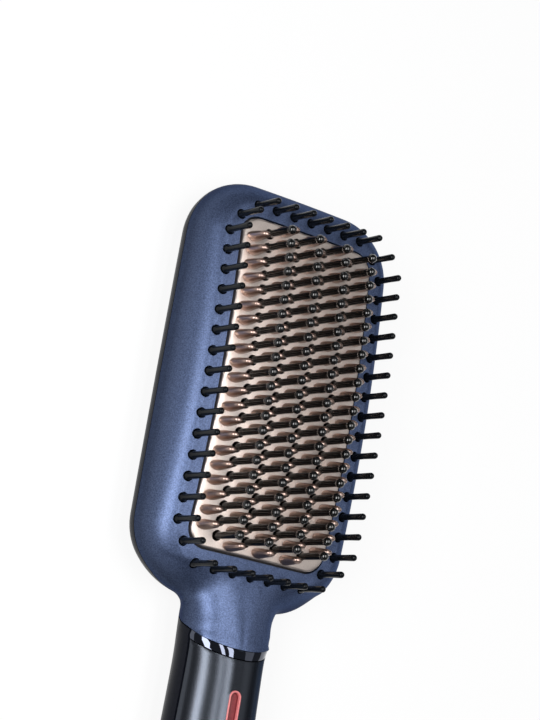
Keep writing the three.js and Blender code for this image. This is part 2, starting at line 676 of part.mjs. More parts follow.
// A closed band with a rectangular section along a half outline and its mirror image
function bandAround(half, width, top, thickness) {
  const loop = [...half, ...half.slice(1, -1).reverse().map((p) => ({ ...p, x: -p.x, nx: -p.nx }))];
  const triangles = [];
  const corners = loop.map((p) => {
    const inner = [p.x - p.nx * width, p.y - p.ny * width];
    const upper = (inward) => top(p, inward);
    return [
      [p.x, p.y, upper(0)], [inner[0], inner[1], upper(width)],
      [inner[0], inner[1], upper(width) - thickness], [p.x, p.y, upper(0) - thickness],
    ];
  });
  corners.forEach((here, i) => {
    const next = corners[(i + 1) % corners.length];
    for (let k = 0; k < here.length; k++) {
      const l = (k + 1) % here.length;
      triangles.push(...here[k], ...next[l], ...next[k], ...here[k], ...here[l], ...next[l]);
    }
  });
  return solidFrom(triangles);
}

function borderBristles() {
  const midY = (topPins.y + bottomPins.y) / 2;
  const reach = pinFrame.width / 2;
  const half = rectOutline(columnPins.x + reach, (topPins.y - bottomPins.y) / 2 + reach,
    pinFrame.corner + reach, 6).map((p) => ({ ...p, y: p.y + midY }));
  const under = (x, y) => crown(x, y) - WALL - pinFrame.clearance;
  const top = (p, inward) => under(p.x - p.nx * inward, p.y - p.ny * inward);
  const pins = borderPinPlaces().map(([x, y]) => {
    const base = crown(x, y);
    const foot = under(x, y) - pinFrame.thickness / 2 - base;
    return turned([
      [0, foot], [pin.collar, foot], [pin.collar, pin.cone / 4],
      [pin.radius, pin.height - pin.roundTip], [0, pin.height],
    ], x, y, base, pin.sides);
  });
  return join([bandAround(half, pinFrame.width, top, pinFrame.thickness), ...pins]);
}

function ballBristles() {
  const bottom = carrier.top - carrier.thickness;
  const root = carrier.top - carrier.thickness / 2;
  const lastRow = rowPitch * (ball.rows - 1) / 2;
  const pieces = [];
  for (const column of ball.columns) {
    for (const side of [1, -1]) {
      const x = side * column;
      pieces.push(box(x - carrier.halfBar, x + carrier.halfBar, -lastRow - carrier.crossWidth / 2,
        lastRow + carrier.crossWidth / 2, bottom, carrier.top));
    }
  }
  const outer = Math.max(...ball.columns);
  for (const y of [lastRow, -lastRow]) {
    pieces.push(box(-outer - carrier.halfBar, outer + carrier.halfBar, y - carrier.crossWidth / 2,
      y + carrier.crossWidth / 2, bottom, carrier.top));
    for (const x of [outer, -outer]) {
      pieces.push(upright(carrier.crossWidth / 2, x, y, chassis.top + GAP, root, 8));
    }
  }
  for (const [x, y] of ballPlaces()) {
    const centre = crown(x, y) + ball.centre;
    const neck = centre - Math.sqrt(ball.radius ** 2 - ball.stem ** 2);
    pieces.push(turned([
      [0, root], [ball.stem, root], [ball.stem, neck], [ball.radius, centre], [0, centre + ball.radius],
    ], x, y, 0, ball.sides));
  }
  return join(pieces);
}

// Heating parts

const heaterTop = rail.bottom - GAP;
const heaterBottom = heaterTop - heater.thickness;

const heaterSolid = (x) => box(x - heater.width / 2, x + heater.width / 2, -rail.halfLength, rail.halfLength,
  heaterBottom, heaterTop);

// A leaf spring that waves between the chassis and the heater
function heaterSpring(x) {
  const high = heaterBottom - GAP;
  const low = chassis.top + GAP + spring.thickness;
  const length = 2 * rail.halfLength - spring.shorter;
  const upper = [];
  for (let i = 0; i <= spring.steps; i++) {
    const t = i / spring.steps;
    const z = mix(low, high, (1 - Math.cos(2 * Math.PI * spring.waves * t)) / 2);
    upper.push([length * (t - 0.5), z]);
  }
  const lower = upper.map(([y, z]) => [y, z - spring.thickness]).reverse();
  return sidePrism([...upper, ...lower], x - spring.width / 2, x + spring.width / 2);
}

function chassisSolid() {
  const bottom = chassis.top - chassis.thickness;
  const base = rectPrism(chassis.halfWidth, chassis.halfLength, chassis.corner, bottom, chassis.top);
  const posts = cornersOf(chassisPost).map(([x, y]) => {
    const top = plateTop(x, y) - plate.thickness - 2 * GAP - plateFrame.thickness;
    return upright(chassisPost.radius, x, y, bottom, top);
  });
  const holes = cornersOf(plateBoss).map(([x, y]) => upright(screw.hole, x, y, bottom - 1, chassis.top + 1));
  return join([base, ...posts]).subtract(join(holes));
}

// A screw that points up from z, with its socketed head below
function screwSolid(x, y, z, length) {
  const { shaft, headRadius, headHeight, socket, socketDepth } = screw;
  const body = turned([
    [0, -headHeight], [headRadius, -headHeight], [headRadius, 0], [shaft, 0], [shaft, length], [0, length],
  ], 0, 0, 0, screw.sides);
  return body.subtract(upright(socket, 0, 0, -headHeight - 1, socketDepth - headHeight)).translate([x, y, z]);
}

const chassisScrew = ([x, y]) => screwSolid(x, y, chassis.top - chassis.thickness - GAP, chassisScrewLength);
const shellScrewAt = ([x, y]) => screwSolid(x, y, shellScrew.seat - GAP, shellScrew.length);
const boardScrew = ([x, y]) => screwSolid(0, 0, 0, boardScrewLength).mirror([0, 0, 1])
  .translate([x, y, board.top + GAP]);

const underRib = sensorRib.bottom - GAP;
function thermostatSolid() {
  const end = -thermostat.length / 2;
  const body = box(-thermostat.width / 2, thermostat.width / 2, end, -end,
    underRib - thermostat.height, underRib);
  const high = underRib - thermostatTab.drop;
  const tabs = [thermostatTab.x, -thermostatTab.x].map((x) => box(x - thermostatTab.width / 2,
    x + thermostatTab.width / 2, end - thermostatTab.length, end + 1, high - thermostatTab.height, high));
  return join([body, ...tabs]);
}

function lyingCylinder(radius, x, y0, y1, z, sides = 12) {
  const geometry = new THREE.CylinderGeometry(radius, radius, Math.abs(y1 - y0), sides);
  return solid(geometry.translate(x, (y0 + y1) / 2, z));
}

// A small cylinder under the sensor rib with a wire out of each end
function wiredCylinder({ y, length, radius }) {
  const tail = length / 2 + wire.length;
  return join([
    lyingCylinder(radius, 0, y - length / 2, y + length / 2, underRib - radius),
    lyingCylinder(wire.radius, 0, y - tail, y + tail, underRib - radius, 6),
  ]);
}

// An insulated lead along a smooth route
function lead(points, radius) {
  const curve = new THREE.CatmullRomCurve3(points.map(([x, y, z]) => new THREE.Vector3(x, y, z)));
  const shape = new THREE.Shape();
  shape.absarc(0, 0, radius, 0, 2 * Math.PI);
  const settings = { steps: leads.steps, extrudePath: curve, curveSegments: 3 };
  return solid(new THREE.ExtrudeGeometry(shape, settings));
}

// Runs from the heater's end, under the bristle carrier and over the chassis' edge, down onto the board.
function heaterLead(side) {
  const x = side * rail.x;
  const start = -rail.halfLength - GAP;
  const underCarrier = carrier.top - carrier.thickness - GAP - leads.radius;
  const overBoard = board.top + GAP + leads.radius;
  const spread = x * leads.spread;
  return lead([
    [x, start, heaterBottom + leads.radius - 0.2], [x, start - 2.2, underCarrier - 0.3],
    [x, start - 6, underCarrier - 1], [mix(x, spread, 0.2), -chassis.halfLength - 3, chassis.top + 0.6],
    [mix(x, spread, 0.9), ring.y + 10, mix(chassis.top, overBoard, 0.8)], [spread, ring.y, overBoard - 0.3],
    [spread, board.y0 - 2, overBoard],
  ], leads.radius);
}

// Handle parts

function boardSolid() {
  const bottom = board.top - board.thickness;
  const plain = box(-board.halfWidth, board.halfWidth, board.y1, board.y0, bottom, board.top);
  const holes = boardPost.ys.map((y) => upright(screw.hole, 0, y, bottom - 1, board.top + 1, 8));
  return plain.subtract(join(holes));
}

const switchMid = knobMid + knob.travel / 2;
const switchTop = board.top + GAP + switchBody.height;
function switchSolid() {
  const base = switchTop - switchBody.height;
  const can = box(-switchBody.width / 2, switchBody.width / 2, switchMid - switchBody.length / 2,
    switchMid + switchBody.length / 2, base, switchTop);
  const sweep = (carriage.fork + knob.travel) / 2 + GAP;
  const leverSlot = box(-switchBody.lever / 2 - GAP, switchBody.lever / 2 + GAP, switchMid - sweep,
    switchMid + sweep, switchTop - switchBody.leverDepth, switchTop + 1);
  return can.subtract(leverSlot);
}

function carriageSolid() {
  const bottom = carriageTop - carriage.thickness;
  const strip = box(-carriage.width / 2, carriage.width / 2, carriageMid - carriageLength / 2,
    carriageMid + carriageLength / 2, bottom, carriageTop);
  const fork = box(-switchBody.lever / 2, switchBody.lever / 2, knobMid - carriage.fork / 2,
    knobMid + carriage.fork / 2, switchTop - carriage.forkReach, bottom + carriage.thickness / 2);
  return strip.add(fork);
}

function linerSolid() {
  const outer = [slot.width + 2 * slot.lip, slot.length + 2 * slot.lip];
  const top = slotSurface + slot.proud;
  return stadium(outer[0], outer[1], slotMid, slotCeiling, top)
    .subtract(stadium(slot.width, slot.length, slotMid, slotCeiling - 1, top + 1));
}

function knobSolid() {
  const base = slotSurface + slot.proud + GAP;
  const top = base + knob.height;
  const crest = [];
  const [low, high] = [knobMid - knob.length / 2, knobMid + knob.length / 2];
  const crestSteps = 4 * ridges.count;
  for (let i = 0; i <= crestSteps; i++) {
    const t = i / crestSteps;
    const ripple = i % 4 === 2 ? ridges.height : 0;
    crest.push([mix(low + 1, high - 1, t), top - ridges.height - knob.slope * (2 * t - 1) ** 2 + ripple]);
  }
  const capForm = sidePrism([[low, base], ...crest, [high, base]].reverse(), -knob.width / 2, knob.width / 2);
  const rounded = rectPrism(knob.width / 2, knob.length / 2, knob.corner, base, top + 1);
  const foot = box(-stem.width / 2, stem.width / 2, knobMid - stem.length / 2, knobMid + stem.length / 2,
    carriageTop + GAP, base + 0.5);
  return capForm.intersect(rounded.translate([0, knobMid, 0])).add(foot);
}

function guideSolid() {
  const top = surfaceZ(guide.y);
  const under = top + handle.inset - WALL - GAP;
  return join([
    upright(guide.radius, 0, guide.y, onBoard + led.height + guide.overLed, top, guide.sides),
    upright(guide.flange, 0, guide.y, under - guide.flangeThickness, under, guide.sides),
  ]);
}

// A block on the board, centred at y
const onBoard = board.top + GAP;
const block = (width, length, height, y) => box(-width / 2, width / 2, y - length / 2, y + length / 2,
  onBoard, onBoard + height);
const ledSolid = () => block(led.width, led.width, led.height, guide.y);
const capacitorSolid = () => block(capacitor.width, capacitor.length, capacitor.height, capacitor.y);
function triacSolid() {
  const tabY = triac.y - (triac.thickness - triac.tabThickness) / 2;
  return join([
    block(triac.width, triac.thickness, triac.height, triac.y),
    block(triac.width, triac.tabThickness, triac.height + triac.tab, tabY),
  ]);
}

// Handle's end
const glandY = handle.end - GAP - cap.length;

function endCapSolid() {
  const start = handle.end - GAP;
  const section = (y, shrink) => {
    const halfWidth = along(handle.stations, y) * shrink;
    const points = [];
    for (let i = 0; i < cap.sides; i++) {
      const angle = 2 * Math.PI * i / cap.sides;
      const up = Math.sin(angle) > 0 ? along(handle.topLine, y) - SEAM_Z : BACK_DEPTH;
      points.push([halfWidth * Math.cos(angle), y, SEAM_Z + up * shrink * Math.sin(angle)]);
    }
    return points;
  };
  const rings = [];
  for (let k = 0; k <= cap.steps; k++) {
    const angle = Math.PI / 2 * k / cap.steps;
    const shrink = cap.fit * mix(cap.endShare, 1, Math.cos(angle));
    rings.push(section(start - cap.length * Math.sin(angle), shrink));
  }
  const plugTop = handle.end + cap.plug;
  const plug = bodyForm(WALL + GAP, 2, 2).intersect(slab(start - 1, plugTop));
  const hollow = bodyForm(WALL + GAP + cap.plugWall, 2, 2).intersect(slab(glandY + cap.wall, plugTop + 1));
  const bore = lyingCylinder(gland.neck + 2 * GAP, 0, glandY - 1, handle.end, SEAM_Z);
  return loft(rings).add(plug).subtract(hollow).subtract(bore);
}

const slab = (y0, y1) => box(-HALF_SPAN, HALF_SPAN, y0, y1, -farZ, farZ);

// Skins a row of rings that each go once round, and closes both ends.
function loft(rings) {
  const triangles = [];
  const middle = (ringPoints) => {
    const sum = ringPoints.reduce((s, p) => [s[0] + p[0], s[1] + p[1], s[2] + p[2]], [0, 0, 0]);
    return sum.map((v) => v / ringPoints.length);
  };
  const count = rings[0].length;
  const [first, last] = [middle(rings[0]), middle(rings.at(-1))];
  for (let i = 0; i < count; i++) {
    const j = (i + 1) % count;
    for (let k = 0; k + 1 < rings.length; k++) {
      const [a, b, c, d] = [rings[k][i], rings[k][j], rings[k + 1][j], rings[k + 1][i]];
      triangles.push(...a, ...b, ...c, ...a, ...c, ...d);
    }
    triangles.push(...first, ...rings[0][j], ...rings[0][i]);
    triangles.push(...last, ...rings.at(-1)[i], ...rings.at(-1)[j]);
  }
  return solidFrom(triangles);
}

// Revolves a closed profile of [radius, y] pairs about the handle's centre line.
function aboutHandle(profile, sides = 10) {
  const points = [...profile, profile[0]].map(([r, y]) => new THREE.Vector2(r, y));
  return solid(new THREE.LatheGeometry(points, sides).translate(0, 0, SEAM_Z));
}

const flangeLow = glandY + cap.wall + GAP;
const flangeHigh = flangeLow + gland.flangeLength;
const retainerLow = flangeHigh + GAP;
const retainerHigh = retainerLow + retainer.thickness;
const bootEnd = glandY - GAP - gland.bootLength;

function glandSolid() {
  const bootTop = glandY - GAP;
  const outline = [[gland.bore, bootEnd], [gland.tip, bootEnd]];
  const ribbed = gland.bootLength * gland.ribbed;
  for (let i = 0; i < gland.ribs; i++) {
    const at = (t) => bootEnd + ribbed * (i + t) / gland.ribs;
    const radius = mix(gland.tip, gland.boot, (i + 0.5) / gland.ribs);
    const low = radius - gland.groove;
    outline.push([radius, at(0.35)], [radius, at(0.7)], [low, at(0.75)], [low, at(1)]);
  }
  outline.push([gland.boot, bootEnd + ribbed + gland.groove], [gland.boot, bootTop]);
  outline.push([gland.neck, bootTop], [gland.neck, flangeLow], [gland.flange, flangeLow]);
  outline.push([gland.flange, flangeHigh], [gland.bore, flangeHigh]);
  return aboutHandle(outline);
}

function retainerSolid() {
  const disc = bodyForm(WALL + 2 * GAP + cap.plugWall, 2, 2).intersect(slab(retainerLow, retainerHigh));
  const hole = lyingCylinder(retainer.hole, 0, retainerLow - 1, retainerHigh + 1, SEAM_Z, retainer.sides);
  return disc.subtract(hole);
}

const contactRadius = gland.bore - GAP;
const contactEnd = retainerHigh + contact.tail;
const contactPin = () => lyingCylinder(contactRadius, 0, flangeLow, contactEnd, SEAM_Z, contact.sides);
function contactSpring(side) {
  const y = retainerHigh + GAP;
  const x = side * (contactRadius + GAP);
  const [low, high] = [SEAM_Z - contact.height / 2, SEAM_Z + contact.height / 2];
  return join([
    box(x, x + side * contact.blade, y, y + contact.bladeLength, low, high),
    box(x, x + side * contact.foot, y, y + contact.blade, low, high),
  ]);
}

// Assembly
const part = new THREE.Group();
part.position.set(0, -(head.top + head.topBulge + bootEnd) / 2, BACK_DEPTH - SEAM_Z);

function add(name, made, material) {
  const mesh = made.simplify(0.03).getMesh();
  const geometry = new THREE.BufferGeometry();
  geometry.setAttribute('position', new THREE.Float32BufferAttribute(mesh.vertProperties, 3));
  geometry.setIndex([...mesh.triVerts]);
  geometry.computeVertexNormals();
  const object = new THREE.Mesh(geometry, material);
  object.name = name;
  part.add(object);
}

function addEach(name, places, make) {
  places.forEach((place, i) => add(`${name}_${i + 1}`, make(place), steel));
}

add('head_front_shell', headFrontShell(), blueLacquer);
add('rear_shell', rearShell(), blackGloss);
add('handle_front_shell', handleFrontShell(), gunmetal);
add('trim_ring', trimRing(), mirrorBlack);
add('heating_plate', heatingPlate(), champagne);
add('plate_frame', plateFrameSolid(), heatPlastic);
add('border_bristles', borderBristles(), bristleBlack);
add('ball_bristles', ballBristles(), bristleBlack);
add('ptc_heater_left', heaterSolid(-rail.x), orangeFilm);
add('ptc_heater_right', heaterSolid(rail.x), orangeFilm);
add('heater_spring_left', heaterSpring(-rail.x), steel);
add('heater_spring_right', heaterSpring(rail.x), steel);
add('heater_chassis', chassisSolid(), heatPlastic);
addEach('chassis_screw', cornersOf(plateBoss), chassisScrew);
add('thermostat', thermostatSolid(), ceramic);
add('thermal_fuse', wiredCylinder(fuse), steel);
add('temperature_sensor', wiredCylinder(sensor), componentGrey);
add('heater_lead_left', heaterLead(-1), siliconeWhite);
add('heater_lead_right', heaterLead(1), siliconeWhite);
addEach('head_screw', cornersOf(headBoss), shellScrewAt);
addEach('handle_screw', handleBossYs.map((y) => [0, y]), shellScrewAt);
add('circuit_board', boardSolid(), boardGreen);
addEach('board_screw', boardPost.ys.map((y) => [0, y]), boardScrew);
add('filter_capacitor', capacitorSolid(), componentGrey);
add('power_triac', triacSolid(), componentGrey);
add('indicator_led', ledSolid(), lens);
add('light_guide', guideSolid(), lens);
add('slide_switch', switchSolid(), componentGrey);
add('slot_liner', linerSolid(), coral);
add('slide_knob', knobSolid(), gunmetal);
add('knob_carriage', carriageSolid(), coral);
add('end_cap', endCapSolid(), blackGloss);
add('swivel_gland', glandSolid(), blackGloss);
add('swivel_retainer', retainerSolid(), heatPlastic);
add('contact_pin', contactPin(), brass);
add('contact_spring_left', contactSpring(-1), brass);
add('contact_spring_right', contactSpring(1), brass);

export default part;
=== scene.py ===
# %% [markdown]
# # A heated straightening brush
# The brush lies on its back with its bristles up. A frame of plain solids says where every piece is and
# how it moves. This lesson dresses that frame: smooth shells, a toothed metal plate, round bristles and
# their finishes. Sizes are in millimetres, measured from the middle of the bristle face, and every piece
# is moved to the frame's place when it is finished.

# %% Tools and frame
import json
from math import acos, copysign, cos, hypot, pi, radians, sin, sqrt

import bmesh
import bpy
from mathutils import Matrix, Vector


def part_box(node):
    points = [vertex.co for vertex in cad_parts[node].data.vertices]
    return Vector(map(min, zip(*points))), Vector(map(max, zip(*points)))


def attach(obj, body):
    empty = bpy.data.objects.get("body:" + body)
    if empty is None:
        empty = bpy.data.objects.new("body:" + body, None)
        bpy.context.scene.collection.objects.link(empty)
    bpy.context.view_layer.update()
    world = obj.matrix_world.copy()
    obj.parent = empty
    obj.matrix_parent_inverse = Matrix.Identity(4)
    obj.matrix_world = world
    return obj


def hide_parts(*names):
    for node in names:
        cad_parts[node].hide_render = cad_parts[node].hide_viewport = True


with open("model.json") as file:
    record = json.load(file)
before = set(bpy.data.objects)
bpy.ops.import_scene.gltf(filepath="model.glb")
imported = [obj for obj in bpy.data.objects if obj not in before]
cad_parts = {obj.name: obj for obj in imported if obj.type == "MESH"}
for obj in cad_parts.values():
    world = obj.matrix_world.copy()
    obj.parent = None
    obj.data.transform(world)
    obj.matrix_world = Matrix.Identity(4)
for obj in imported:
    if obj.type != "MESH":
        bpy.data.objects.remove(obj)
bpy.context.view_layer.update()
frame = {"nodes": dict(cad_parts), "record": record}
scene = bpy.context.scene
print(len(frame["nodes"]), "frame pieces")

# %% [markdown]
# The driving sizes come first. The outline of the head is made of straight stretches and arcs, the face is
# slightly crowned, and the handle is a row of stations from the neck to its end.

# %% Sizes
GAP = 0.3
WALL = 2.2
SEAM_Z, HEAD_SEAM = -13.5, -16.0  # heights of the handle's and the head's widest line
BACK_DEPTH = 12.0
FLOOR_Z = SEAM_Z - BACK_DEPTH
CROWN_X, CROWN_Y = 0.00142, 0.00129

HALF_WIDTH, HEAD_TOP = 37.35, 64.4
SIDE_BULGE, TOP_BULGE = 0.35, 0.5
TOP_CORNER, CORNER_Y, LOWER_CORNER = 19.4, -45.0, 18.5
LOWER_SWEEP, NECK_FILLET = 28.5, 3.6
SHOULDER, BACK_CURVE = 7.1, 9.0
HEAD_CREASE, HANDLE_CREASE = radians(72), radians(82)

HANDLE_WIDTHS = [(-71.5, 15.5), (-87, 14.9), (-140, 16.4), (-180, 16.7), (-216, 15.2)]
HANDLE_TOPS = [
    (-58, -4.34), (-61, -5.0), (-64, -5.0), (-68, -4.3), (-72, -3.1), (-75.5, -2.25), (-80, -1.8),
    (-90, -1.3), (-150, -0.8), (-216, -1.6),
]
HANDLE_FLAT, HANDLE_END, HANDLE_SEAM, HANDLE_INSET = 2.0, -216.0, -10.1, 0.4
RING_Y, RING_Z, RING_SLOPE, RING_WIDTH = -80.0, -1.3, 0.46, 2.6

PLATE_X, PLATE_Y, PLATE_CORNER = 25.15, 52.0, 6.2
PLATE_RAISE, PLATE_THICKNESS, PLATE_EDGE, WINDOW_GAP = 0.8, 3.0, 0.6, 0.65
COLUMN_PITCH, ROW_PITCH = 5.3, 4.55


def mix(a, b, t):
    return a + (b - a) * t


def ease(t):
    """A smooth step from 0 to 1, flat at both ends."""
    t = min(max(t, 0), 1)
    return t * t * (3 - 2 * t)


def along(stations, y):
    """Smooth value at y through stations that run toward the handle's end."""
    if y >= stations[0][0]:
        return stations[0][1]
    if y <= stations[-1][0]:
        return stations[-1][1]
    i = next(k for k, (station_y, _) in enumerate(stations) if station_y < y) - 1

    def slope(k):
        (ya, va), (yb, vb) = stations[max(k - 1, 0)], stations[min(k + 1, len(stations) - 1)]
        return (vb - va) / (yb - ya)

    (y0, v0), (y1, v1) = stations[i], stations[i + 1]
    t = (y - y0) / (y1 - y0)
    rise = (t**3 - 2 * t**2 + t) * slope(i) + (t**3 - t**2) * slope(i + 1)
    return mix(v0, v1, ease(t)) + rise * (y1 - y0)


def crown(x, y):
    return -CROWN_X * x * x - CROWN_Y * y * y


def front_z(x, y):
    """Height of the flat front strip: the crowned face on the head, the top line on neck and handle."""
    if y >= HANDLE_TOPS[0][0]:
        return crown(x, y)
    return along(HANDLE_TOPS, y) - CROWN_X * x * x


# %% [markdown]
# A few helpers do most of the modelling. A chain of vertices is extruded to new places step by step, closed
# loops are joined into a loft, and a profile is spun round an axis. A crowned face is closed by extruding the
# left half of a chain in columns until it meets the right half. A finished mesh loses its slivers, moves from
# the face's middle to the frame's place, and keeps only its true edges crisp.

# %% Mesh helpers
MM = 0.001
SLIVER, JOIN, SKIN_JOIN = 0.002, 0.001, 0.005
SHARP, RIM_SHARP = radians(38), radians(55)
shell_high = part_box("head_front_shell")[1]
TO_FRAME = Matrix.Translation((0, shell_high.y - (HEAD_TOP + TOP_BULGE) * MM, (BACK_DEPTH - SEAM_Z) * MM))
TO_FRAME = TO_FRAME @ Matrix.Scale(MM, 4)


def pairs(chain, closed):
    return zip(chain, chain[1:] + chain[:1] if closed else chain[1:])


def start_chain(bm, places, closed=False):
    chain = [bm.verts.new(p) for p in places]
    for pair in pairs(chain, closed):
        bm.edges.new(pair)
    return chain


def extrude_chain(bm, chain, places, closed=False):
    """Extrudes a chain of vertices one step and gives the new vertices the places."""
    edges = [bm.edges.get(pair) for pair in pairs(chain, closed)]
    made = bmesh.ops.extrude_edge_only(bm, edges=edges)["geom"]
    new = {v for v in made if isinstance(v, bmesh.types.BMVert)}
    grown = []
    for old, place in zip(chain, places):
        vert = next(e.other_vert(old) for e in old.link_edges if e.other_vert(old) in new)
        vert.co = place
        grown.append(vert)
    return grown


def loft(bm, loops, capped=False):
    """Joins closed loops of places with faces, and returns the first and the last loop of vertices."""
    first = chain = start_chain(bm, loops[0], closed=True)
    if capped:
        bm.faces.new(first)
    for places in loops[1:]:
        chain = extrude_chain(bm, chain, places, closed=True)
    if capped:
        bm.faces.new(chain)
    return first, chain


def spin_chain(bm, chain, steps, centre=(0, 0, 0), axis=(0, 0, 1), closed=False):
    """Turns a chain of vertices once round an axis."""
    edges = [bm.edges.get(pair) for pair in pairs(chain, closed)]
    bmesh.ops.spin(bm, geom=[*chain, *edges], cent=centre, axis=axis, dvec=(0, 0, 0), angle=2 * pi,
                   steps=steps, use_merge=True)


def fill_across(bm, left, right, columns, height):
    """Extrudes the left chain column by column until it meets the right one."""
    spans = [(a.co.copy(), b.co.copy()) for a, b in zip(left, right)]
    for i in range(1, columns + 1):
        points = [a.lerp(b, i / columns) for a, b in spans]
        left = extrude_chain(bm, left, [(x, y, height(x, y)) for x, y, _ in points])


def face_outward(bm):
    bmesh.ops.recalc_face_normals(bm, faces=bm.faces)


def join_up(bm, distance=JOIN):
    """Merges the vertices that meet and turns every face outward."""
    bmesh.ops.remove_doubles(bm, verts=bm.verts, dist=distance)
    face_outward(bm)


def to_mesh(bm, name):
    mesh = bpy.data.meshes.new(name)
    bm.to_mesh(mesh)
    bm.free()
    return mesh


def new_object(bm, name):
    obj = bpy.data.objects.new(name, to_mesh(bm, name))
    scene.collection.objects.link(obj)
    return obj


def set_all(thing, **values):
    for key, value in values.items():
        setattr(thing, key, value)
    return thing


def apply_all(obj):
    graph = bpy.context.evaluated_depsgraph_get()
    graph.update()
    mesh = bpy.data.meshes.new_from_object(obj.evaluated_get(graph))
    obj.modifiers.clear()
    old, obj.data = obj.data, mesh
    bpy.data.meshes.remove(old)


def settle(mesh):
    """Takes out slivers, moves the mesh into the frame and keeps only its true edges crisp."""
    bm = bmesh.new()
    bm.from_mesh(mesh)
    bmesh.ops.remove_doubles(bm, verts=bm.verts, dist=SLIVER)
    bmesh.ops.dissolve_degenerate(bm, dist=SLIVER, edges=bm.edges)
    bm.transform(TO_FRAME)
    bm.normal_update()
    for face in bm.faces:
        face.smooth = True
    for edge in bm.edges:
        if len(edge.link_faces) == 2:
            edge.smooth = edge.calc_face_angle(0) < SHARP
    bm.to_mesh(mesh)
    bm.free()


def finish_piece(obj, body, node, slot):
    """Applies what is live, moves the mesh into the frame and hands the piece over."""
    apply_all(obj)
    settle(obj.data)
    obj.data.name = obj.name
    obj.data.materials.clear()
    obj.data.materials.append(FINISH.get(obj.name) or FINISH[slot])
    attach(obj, body)
    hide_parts(node)
    print(obj.name, len(obj.data.polygons), "faces")


def cut_away(obj, cutters):
    """Cuts closed pieces out of an object, one after another."""
    for cutter in cutters:
        set_all(obj.modifiers.new("cut", "BOOLEAN"), object=cutter, operation="DIFFERENCE", solver="EXACT")
    apply_all(obj)
    for cutter in cutters:
        bpy.data.objects.remove(cutter)


def add_wall(obj, thickness, round_edge):
    """Gives an open skin its wall and rounds the rim."""
    set_all(obj.modifiers.new("wall", "SOLIDIFY"), thickness=thickness, offset=-1, use_even_offset=True)
    set_all(obj.modifiers.new("rim", "BEVEL"), width=round_edge, segments=2, limit_method="ANGLE",
            angle_limit=RIM_SHARP)
    apply_all(obj)


# %% [markdown]
# Materials are built from three shader node groups. *Fine grain* is noise at a real scale: the flakes in a
# pearl lacquer, the haze of satin plastic. *Handling marks* is a broad, faint change of roughness, like skin
# oil and wiping leave. The third group darkens a colour below a height: a painted shade that stands in for
# the dark reflections down the lacquer's lower sides.

# %% Node groups
FLOAT, COLOR = "NodeSocketFloat", "NodeSocketColor"


def new_group(name, inputs, outputs):
    """A shader group with its inputs given as name, kind and value, and its outputs as name and kind."""
    group = bpy.data.node_groups.new(name, "ShaderNodeTree")
    for socket, kind, value in inputs:
        group.interface.new_socket(socket, in_out="INPUT", socket_type=kind).default_value = value
    for socket, kind in outputs:
        group.interface.new_socket(socket, in_out="OUTPUT", socket_type=kind)
    return group, group.nodes.new("NodeGroupInput"), group.nodes.new("NodeGroupOutput")


def add_node(tree, kind, **values):
    return set_all(tree.nodes.new(kind), **values)


def set_inputs(node, **values):
    """Sets inputs by name, with an underscore for each space."""
    for socket, value in values.items():
        node.inputs[socket.replace("_", " ")].default_value = value
    return node


def wire(tree, *links):
    """Makes links, each given as a node, its output, a node and its input."""
    for source, output, target, entry in links:
        tree.links.new(source.outputs[output], target.inputs[entry])


def object_noise(group, given):
    """Noise of a real size, from the coordinates of the object itself."""
    noise = add_node(group, "ShaderNodeTexNoise")
    wire(group, (add_node(group, "ShaderNodeTexCoord"), "Object", noise, "Vector"),
         (given, "Scale", noise, "Scale"))
    return noise


def fine_grain_group():
    group, given, result = new_group(
        "fine_grain",
        [("Scale", FLOAT, 2000.0), ("Dark", COLOR, (0, 0, 0, 1)), ("Light", COLOR, (1, 1, 1, 1))],
        [("Color", COLOR), ("Grain", FLOAT)])
    noise = object_noise(group, given)
    spread = set_inputs(add_node(group, "ShaderNodeMapRange"), From_Min=0.32, From_Max=0.68)
    tint = add_node(group, "ShaderNodeMix", data_type="RGBA")
    wire(group, (noise, "Fac", spread, "Value"), (spread, "Result", tint, "Factor"),
         (given, "Dark", tint, "A"), (given, "Light", tint, "B"),
         (tint, "Result", result, "Color"), (spread, "Result", result, "Grain"))
    return group


def handling_group():
    group, given, result = new_group(
        "handling_marks", [("Scale", FLOAT, 40.0), ("Low", FLOAT, 0.3), ("High", FLOAT, 0.4)],
        [("Roughness", FLOAT)])
    noise = set_inputs(object_noise(group, given), Detail=4.0)
    spread = set_inputs(add_node(group, "ShaderNodeMapRange"), From_Min=0.3, From_Max=0.7)
    wire(group, (noise, "Fac", spread, "Value"), (given, "Low", spread, "To Min"),
         (given, "High", spread, "To Max"), (spread, "Result", result, "Roughness"))
    return group


# Painted shade: darkens a colour below a height, for the lacquer's dark lower sides.
def painted_seam_shade_maker():
    group, given, result = new_group(
        "painted_lower_shade",
        [("Color", COLOR, (1, 1, 1, 1)), ("Low", FLOAT, 0.0), ("High", FLOAT, 1.0), ("Share", FLOAT, 1.0)],
        [("Color", COLOR)])
    place = add_node(group, "ShaderNodeTexCoord")
    height = add_node(group, "ShaderNodeSeparateXYZ")
    fade = add_node(group, "ShaderNodeMapRange")
    scaled = add_node(group, "ShaderNodeVectorMath", operation="SCALE")
    wire(group, (place, "Object", height, "Vector"), (height, "Z", fade, "Value"),
         (given, "Low", fade, "From Min"), (given, "High", fade, "From Max"),
         (given, "Share", fade, "To Min"), (given, "Color", scaled, 0),
         (fade, "Result", scaled, "Scale"), (scaled, "Vector", result, "Color"))
    return group


FINE_GRAIN = fine_grain_group()
PAINTED_SEAM_SHADE = painted_seam_shade_maker()
HANDLING = handling_group()


def use_group(tree, group, **values):
    return set_inputs(add_node(tree, "ShaderNodeGroup", node_tree=group), **values)


